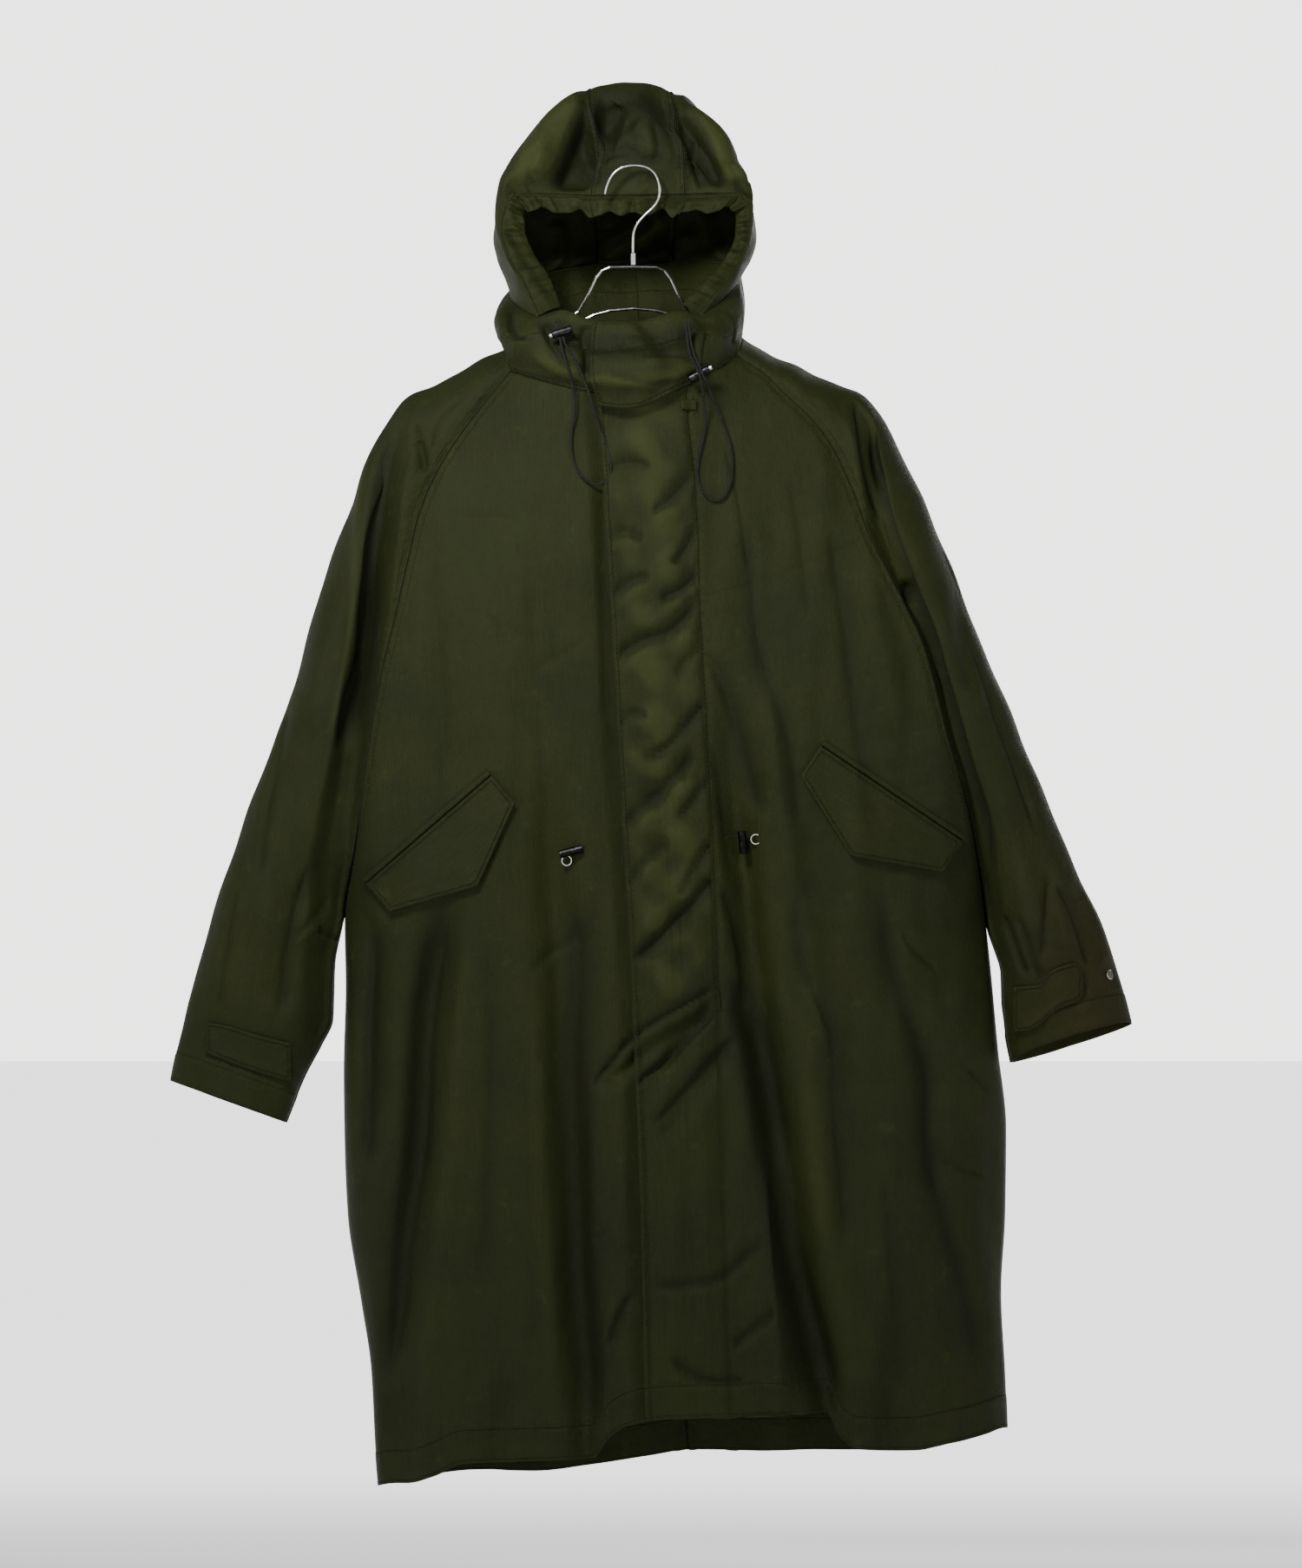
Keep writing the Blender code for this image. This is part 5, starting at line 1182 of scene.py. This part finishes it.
def hood_side(side, along, share):
    """Side panel: rows from the centre panel's seam round to the face opening."""
    tables = ((HOOD_SEAM_RIGHT, HOOD_SIDE_RIGHT, OPENING_RIGHT) if side < 0
              else (HOOD_SEAM_LEFT, HOOD_SIDE_LEFT, OPENING_LEFT))
    rows = [table.at(along) for table in tables]
    top, wide, edge = [stack(row.x, row.y, row.z)[:, None, :] for row in rows]
    u = share[None, :, None]
    points = top * (1 - u) * (1 - 2 * u) + wide * 4 * u * (1 - u) + edge * u * (2 * u - 1)
    rise = 0.05 if side < 0 else 0.15
    near = (ease(0.0, rise, along) * (1 - ease(0.25, 0.6, along)))[:, None, None]
    brim_corner = (12 if side < 0 else 8) * near * 17.6 * u ** 6 * (1 - u)
    points = points + brim_corner * np.array([side * 0.55, 0.6, 0.5])
    return hood_folded(points)


def hood_centre(along, share):
    """Centre panel, crowned between its two seams."""
    right = HOOD_SEAM_RIGHT.at(along)
    left = HOOD_SEAM_LEFT.at(along)
    start = stack(right.x, right.y, right.z)[:, None, :]
    stop = stack(left.x, left.y, left.z)[:, None, :]
    u = share[None, :, None]
    points = start + (stop - start) * u
    ends = (ease(0.0, 0.15, along) * (1 - ease(0.85, 1.0, along)))[:, None, None]
    crown = 4 * CROWN * u * (1 - u) * ends
    return hood_folded(points + hood_radial(points) * crown)


hood_along = np.linspace(0, 1, 111)
hood_share = np.linspace(0, 1, SIDE_COLUMNS)
hood = {"hood_right": hood_side(-1, hood_along, hood_share),
        "hood_left": hood_side(1, hood_along, hood_share),
        "hood_centre": hood_centre(hood_along, np.linspace(0, 1, CENTRE_COLUMNS))}
for name, points in hood.items():
    is_centre = name == "hood_centre"
    to_start, to_end, to_brim, to_neck = from_edges(points)
    to_side = np.minimum(to_start, to_end) if is_centre else to_start
    x, z = points[..., 0], points[..., 2]
    facing = 1 - ease(30, 70, points[..., 1])
    relief = crease(x, z, HOOD_CREASES) * facing + crease(x, z, HOOD_BACK_CREASES) * (1 - facing)
    height = relief + hang(x, z + points[..., 1], SLEEVE_WAVES)
    height *= ease(0, 10, to_start) * ease(0, 10, to_end) * ease(0, 6, to_brim) * ease(0, 6, to_neck)
    height += seam_dip(to_start) + (seam_dip(to_end) if is_centre else 0)
    for crown_x, crown_z, rise in HOOD_CORNERS:
        away = (x - crown_x) ** 2 + (z - crown_z) ** 2
        height += rise * ease(0, 12, to_side) * np.exp(-away / CORNER_SPREAD)
    panels[name] = points + outward(points, HOOD_INSIDE) * height[..., None]
    piece = cloth_piece(name + "_cloth", panels[name], HOOD_INSIDE, OLIVE, [name],
                        edges=(1.5 * to_side, FAR, to_brim + 4), relief=relief)
    seams = ("start", "end") if is_centre else ("start",)
    stitches(name + "_stitches", [inset(panels[name], seam, 4.0) for seam in seams], HOOD_INSIDE)

# ------------------------------------------------------------------ drawcord channel
# A doubled band round the face opening with the hood cord inside. The cord gathers it.
# Its width and how far its free edge turns in, from the right chin (0) over the brim (0.5)
# to the left chin (1).
CHANNEL = Table(
    "along width turn",
    (0.00, 27, 2), (0.10, 29, 4), (0.22, 26, 6), (0.30, 17, 3), (0.36, 17, 2), (0.50, 15, 1),
    (0.64, 17, 2), (0.70, 20, 4), (0.80, 16, 6), (0.92, 22, 4), (1.00, 24, 2))
GATHER = 16.0                   # from one pleat to the next
FACE_MIDDLE = (-12, -15, -95)   # where the channel's free edge turns to
CHANNEL_INSIDE = (-10, 62, -60)


def channel_panel(rim, across_share):
    """Drawcord channel along the rim of the hood, gathered towards its free edge, and the
    height of its gathers."""
    step = np.linalg.norm(np.diff(rim, axis=0), axis=1)
    along = np.concatenate([[0.0], np.cumsum(step)]) / step.sum()
    size = CHANNEL.at(along)
    tangent = np.gradient(rim, axis=0)
    tangent /= np.linalg.norm(tangent, axis=1, keepdims=True)
    inward = np.array(FACE_MIDDLE, dtype=float) - rim
    inward -= 0.5 * (inward * tangent).sum(axis=1, keepdims=True) * tangent
    inward /= np.linalg.norm(inward, axis=1, keepdims=True)
    out = np.cross(inward, tangent)
    out *= np.sign((out * (rim - np.array(CHANNEL_INSIDE, dtype=float))).sum())
    reach = along * step.sum()
    ends = ease(0.0, 0.05, along) * (1 - ease(0.95, 1.0, along))
    wave = np.sin(reach * 0.19 + 0.9 * np.sin(reach * 0.047)) + 0.5 * np.sin(reach * 0.33 + 1.0)
    wave = wave * (0.75 + 0.35 * np.sin(reach * 0.081 + 2.0)) * ends
    pleat = (np.sin(2 * math.pi * reach / GATHER + 1.6 * np.sin(reach / 17))
             + 0.6 * np.sin(2 * math.pi * reach / (0.57 * GATHER) + 2.1 * np.sin(reach / 29)))
    pleat = pleat * (0.7 + 0.4 * np.sin(reach / 21 + 0.7)) * ends
    on_brim = ease(0.5, 0.9, np.abs(tangent[:, 0]))
    rows, heights = [], []
    for share in across_share:
        point = rim + inward * ((size.width + 4 * on_brim) * share)[:, None]
        point[:, 1] += size.turn * share + 3.0 * wave * share
        point[:, 2] += 3.4 * wave * share ** 1.5 * on_brim
        belly = math.sin(math.pi * share)
        crumple = (np.sin(reach / 6.1 + 5 * share + 2 * np.sin(reach / 23))
                   * np.sin(reach / 11.3 - 4 * share + 1.4 * np.sin(reach / 37)) * ends)
        rough = belly * (1.0 * pleat + 2.4 * crumple + 1.2 * wave) + 1.0 * pleat * share
        rows.append(point + out * (2.4 * belly + rough)[:, None])
        heights.append(rough)
    return np.stack(rows, axis=1), np.stack(heights, axis=1)


rim = np.concatenate([
    panels["hood_right"][::-1, -1], panels["hood_right"][0, -2::-1],
    panels["hood_centre"][0, 1:], panels["hood_left"][0, 1:], panels["hood_left"][1:, -1]])
panels["hood_channel"], rough = channel_panel(rim, np.linspace(0, 1, 21))
to_rim = from_edges(panels["hood_channel"])[0]
# The channel's relief is lowered by 1 mm everywhere, so the finish paints shade over the whole band and
# light and shade on its gathers.
channel = cloth_piece("hood_channel_cloth", panels["hood_channel"], CHANNEL_INSIDE, OLIVE,
                      ["hood_channel"], edges=(FAR, FAR, to_rim + 2), relief=0.9 * rough - 1.0)
stitches("hood_channel_stitches", [inset(panels["hood_channel"], "start", EDGE_ROW)], CHANNEL_INSIDE)

# ------------------------------------------------------------------ collar
# The stand collar joins the hood to the neck. On the left it runs on as the chin flap, which
# laps over the right half and hangs a little below the neck seam.
# Top edge of the collar in front, from the hood's corner (0) to its free end (1).
COLLAR_TOP_RIGHT = Table(
    "along x y z",
    (0.00, -97, -56, -148), (0.25, -72, -62, -141), (0.50, -44, -65, -150), (1.00, 12, -66, -153))
COLLAR_TOP_LEFT = Table(
    "along x y z",
    (0.00, 64, -56, -147), (0.25, 42, -64, -142), (0.60, 0, -70, -152), (1.00, -42, -71, -152))
COLLAR_CREASES = (
    (-18, 9, (-104, -146), (-70, -168), (-20, -172), (30, -170), (76, -152)),
    (16, -3.5, (-112, -178), (-70, -203), (-20, -212), (30, -208), (84, -184)),
    (6, 5, (-110, -126), (-124, -143), (-122, -165), (-104, -174)),
    (6, 4, (-92, -150), (-84, -176), (-66, -200)),
    (9, 6, (-53, -156), (-51, -182), (-50, -212)),
    (6, 2.5, (6, -186), (30, -184), (62, -192)),
    (5, 2, (-28, -206), (6, -212), (40, -214)),
    (5, 3, (72, -158), (66, -180), (60, -204)),
    (6, 3, (92, -140), (98, -156), (96, -176)))
COLLAR_INSIDE = (-14, 0, -170)
NECK_MIDDLE = (-14, -2, 0)
FLAP_DROP = 12                  # how far the chin flap hangs below the neck seam


def collar_points(side):
    """Collar half on the neck edges of front, sleeve and back, up to the hood's edge. Places
    count the columns of the collar's solid along the neck, so that both follow one line."""
    word = "right" if side < 0 else "left"
    fronts, sleeve, back = (panels[name + word][0] for name in ("front_", "sleeve_", "back_"))
    base = np.concatenate([fronts, sleeve[1:], back[-2::-1]])
    lap_places = 2 if side < 0 else 5
    lap_columns = LAP_COLUMNS if side < 0 else FLY_COLUMNS
    wide_places = 9 if side < 0 else 10
    place = np.concatenate([
        np.linspace(0, lap_places, lap_columns, endpoint=False),
        lap_places + wide_places * (1 - (1 - np.linspace(0, 1, PANEL_COLUMNS)) ** (SPREAD / 1.4)),
        lap_places + wide_places + np.linspace(0, 9, SLEEVE_FRONT_COLUMNS + 1)[1:],
        lap_places + wide_places + 9 + np.linspace(0, 7, SLEEVE_BACK_COLUMNS + 1)[1:],
        lap_places + wide_places + 16 + 8 * np.linspace(0, 1, HALF_COLUMNS)[1:] ** (SPREAD / 1.4)])
    free = lap_places + wide_places - 2
    last = place[-1]
    hood_edge = panels["hood_" + word][-1, ::-1]
    centre = panels["hood_centre"][-1]
    half_centre = CENTRE_COLUMNS // 2 + 1
    half = (centre if side < 0 else centre[::-1])[:half_centre]
    hood_edge = np.concatenate([hood_edge, half[1:]])
    hood_place = np.concatenate([
        np.linspace(0, 10, SIDE_COLUMNS), 10 + np.linspace(0, 4, half_centre)[1:]])
    at_hood = np.interp(place, (free, last - 8, last - 3, last), (0, 5, 10, 14))
    top = np.stack([np.interp(at_hood, hood_place, hood_edge[:, axis]) for axis in range(3)], axis=-1)
    loose = (COLLAR_TOP_RIGHT if side < 0 else COLLAR_TOP_LEFT).at(1 - np.clip(place / free, 0, 1))
    is_free = (place < free)[:, None]
    top = np.where(is_free, stack(loose.x, loose.y, loose.z), top)
    turn = np.arctan2(np.abs(base[:, 0] + 14), -base[:, 1])
    front_roll = 15 * (1 - ease(0.7, 1.5, turn))
    side_roll = (8 if side < 0 else 1) * ease(0.8, 1.4, turn) * (1 - ease(1.9, 2.6, turn))
    up = np.linspace(0, 1, 37)
    points = collar_panel(base, top, 1.25 * front_roll + 1.3 * side_roll + 3, up)
    hollow = 7 * np.exp(-((up - 0.84) / 0.11) ** 2)[:, None] * (1 - ease(0.6, 1.1, turn))[None, :]
    points[..., 1] += hollow
    if side > 0:
        in_front = base[:, 1] < 0
        proud = (1 - ease(30, 62, base[:, 0])) * in_front
        hanging = (1 - ease(-20, 48, base[:, 0])) * in_front
        lower = np.linspace(1, 0, len(points))[:, None]
        points[..., 1] -= (4.5 + 4.0 * lower) * proud[None, :]
        points[..., 2] -= FLAP_DROP * lower ** 2 * hanging[None, :]
    return points


def collar_panel(base, top, out, up):
    """Stand collar between its neck edge and its top edge, rolled outwards by out."""
    share = up[:, None, None]
    points = base[None] + (top[None] - base[None]) * share
    away = (base + top) / 2 - np.array(NECK_MIDDLE, dtype=float)
    away[:, 2] = 0
    away /= np.linalg.norm(away, axis=1, keepdims=True)
    roll = np.sin(np.pi * share ** 1.1)
    return points + away[None] * (out[None, :, None] * roll)


for side, word in ((-1, "right"), (1, "left")):
    points = collar_points(side)
    to_free, _, to_neck, to_hood = from_edges(points)
    x, z = points[..., 0], points[..., 2]
    relief = crease(x, z, COLLAR_CREASES) * (1 - ease(-20, 20, points[..., 1]))
    height = relief + hang(x + points[..., 1], z, SLEEVE_WAVES)
    height *= ease(0, 10, to_neck) * ease(0, 10, to_hood)
    panels["collar_" + word] = points + outward(points, COLLAR_INSIDE) * height[..., None]
    # The collar's relief is taken at one and a half times its crease height, for stronger painted shade in
    # its hollows and painted highlight on its ridges.
    collar = cloth_piece("collar_" + word + "_cloth", panels["collar_" + word], COLLAR_INSIDE,
                         OLIVE, ["collar_" + word],
                         edges=(FAR, to_hood, np.minimum(to_free, to_neck) + 1), relief=1.5 * relief)
    stitches("collar_" + word + "_stitches", [
        inset(panels["collar_" + word], edge, 4.0) for edge in ("start", "top")], COLLAR_INSIDE)

# ------------------------------------------------------------------ pockets
# Slanted hand pockets. Each has a narrow double-stitched welt and a pointed flap of doubled
# cloth below it, both sewn to the front along the slanted line.
POCKET_LENGTH = 183.0
POCKET_END = 36.0               # depth of the flap at its ends and at its point
POCKET_MIDDLE = 74.0
WELT_WIDTH = 6.0


def tree_of(*names):
    """Search tree of some pieces of the scene, without their thickness."""
    mesh = bmesh.new()
    for name in names:
        mesh.from_mesh(bpy.data.objects[name].data)
    tree = BVHTree.FromBMesh(mesh)
    mesh.free()
    return tree


TOUCH = 3                       # half width of the patch of cloth that a laid point rests on


def touch(tree, x, z):
    """How far out the cloth comes round a place seen from the front (its least y)."""
    hits = []
    for aside, up in ((0, 0), (TOUCH, 0), (-TOUCH, 0), (0, TOUCH), (0, -TOUCH)):
        start = Vector((x + aside, -400, z + up)) * MM
        hit = tree.ray_cast(start, Vector((0, 1, 0)))[0]
        if hit is not None:
            hits.append(hit.y / MM)
    return min(hits)


def soften(depth, rounds):
    """Even out a grid of depths, never deeper than before."""
    for _ in range(rounds):
        wide = np.pad(depth, 1, mode="edge")
        mean = (wide[:-2, 1:-1] + wide[2:, 1:-1] + wide[1:-1, :-2] + wide[1:-1, 2:]) / 4
        depth = np.minimum(depth, mean)
    return depth


def laid_points(tree, x, z, lift):
    """Grid of points that lies on the cloth."""
    depth = np.empty(x.shape)
    for index in np.ndindex(*x.shape):
        depth[index] = touch(tree, x[index], z[index])
    return stack(x, soften(depth, 6) - lift, z)


# Where each slanted line starts, its direction, the direction down from it, and its length.
for word, start_x, start_z, run_x, run_z, down_x, down_z, length in (
        ("right", -142, -596, -0.757, -0.653, 0.653, -0.757, POCKET_LENGTH - 20),
        ("left", 181, -567, 0.83, -0.558, -0.558, -0.83, POCKET_LENGTH - 14)):
    on = tree_of("front_" + word + "_cloth")
    reach, share = np.meshgrid(np.linspace(0, length, 66), np.linspace(0, 1, 30), indexing="ij")
    depth = across(POCKET_MIDDLE, POCKET_END, np.abs(2 * reach / length - 1))
    below = 0.8 + (depth - 0.8) * share
    x = start_x + run_x * reach + down_x * below
    z = start_z + run_z * reach + down_z * below
    puff = 2.2 * np.sin(np.pi * share) * np.sin(np.pi * reach / length) ** 0.5
    points = laid_points(on, x, z, 2.6 + 3.0 * share ** 2)
    points[..., 1] -= puff
    inside = (x.mean(), 500, z.mean())
    flap = cloth_piece("pocket_flap_" + word + "_cloth", points, inside, OLIVE,
                       ["pocket_flap_" + word], 1.5, (FAR, FAR, np.min(from_edges(points), axis=0) + 1))
    reach, share = np.meshgrid(np.linspace(0, length, 66), np.linspace(0, 1, 5), indexing="ij")
    x_welt = start_x + run_x * reach - down_x * WELT_WIDTH * share
    z_welt = start_z + run_z * reach - down_z * WELT_WIDTH * share
    welt_points = laid_points(on, x_welt, z_welt, 1.9)
    welt_points[..., 1] -= 0.8 * np.sin(np.pi * share)
    welt = cloth_piece("pocket_welt_" + word + "_cloth", welt_points, inside, OLIVE,
                       ["pocket_welt_" + word], 1.2)
    stitches("pocket_" + word + "_stitches", [
        inset(points, edge, 4.0) for edge in ("start", "end", "low", "top")]
        + [inset(welt_points, "start", 1.5)], inside)

# ------------------------------------------------------------------ cuff tabs
# Short tabs of doubled cloth that tighten the cuffs. They are stitched all round and lie flat
# on the sleeve's front.
CUFF_TAB_RIGHT = Table(
    "x top low",
    (-422, -838, -868), (-400, -842, -877), (-378, -849, -885), (-356, -855, -892),
    (-338, -859, -897))
CUFF_TAB_LEFT = Table(
    "x top low",
    (369, -804, -849), (380, -803, -848), (394, -802, -842), (405, -789, -832),
    (418, -783, -823), (430, -780, -819), (438, -788, -812))
for word, table in (("right", CUFF_TAB_RIGHT), ("left", CUFF_TAB_LEFT)):
    ends = table.rows[:, 0]
    x, share = np.meshgrid(np.linspace(ends[0], ends[-1], 44), np.linspace(0, 1, 18), indexing="ij")
    sizes = table.at(x)
    points = laid_points(tree_of("sleeve_" + word + "_cloth"), x, across(sizes.top, sizes.low, share), 2.0)
    points[..., 1] -= 0.8 * np.sin(np.pi * share)
    inside = (x.mean(), 500, sizes.top.mean())
    tab = cloth_piece("cuff_tab_" + word + "_cloth", points, inside, OLIVE, ["cuff_tab_" + word], 1.6,
                      (FAR, FAR, np.min(from_edges(points), axis=0) + 1.5))
    stitches("cuff_tab_" + word + "_stitches", [
        inset(points, edge, 3.5) for edge in ("top", "low", "start", "end")], inside)

# ------------------------------------------------------------------ collar tab
# The end of the tab that closes the chin flap, of the same doubled cloth. It shows just below
# the flap and is sewn on beneath it.
x, share = np.meshgrid(np.linspace(44, 59, 12), np.linspace(0, 1, 8), indexing="ij")
points = laid_points(tree_of("front_left_cloth"), x, across(-229.5, -238 - (x - 46) * 0.1, share), 1.7)
tab = cloth_piece("collar_tab_cloth", points, (50, 500, -233), OLIVE, ["collar_tab"], 1.2)
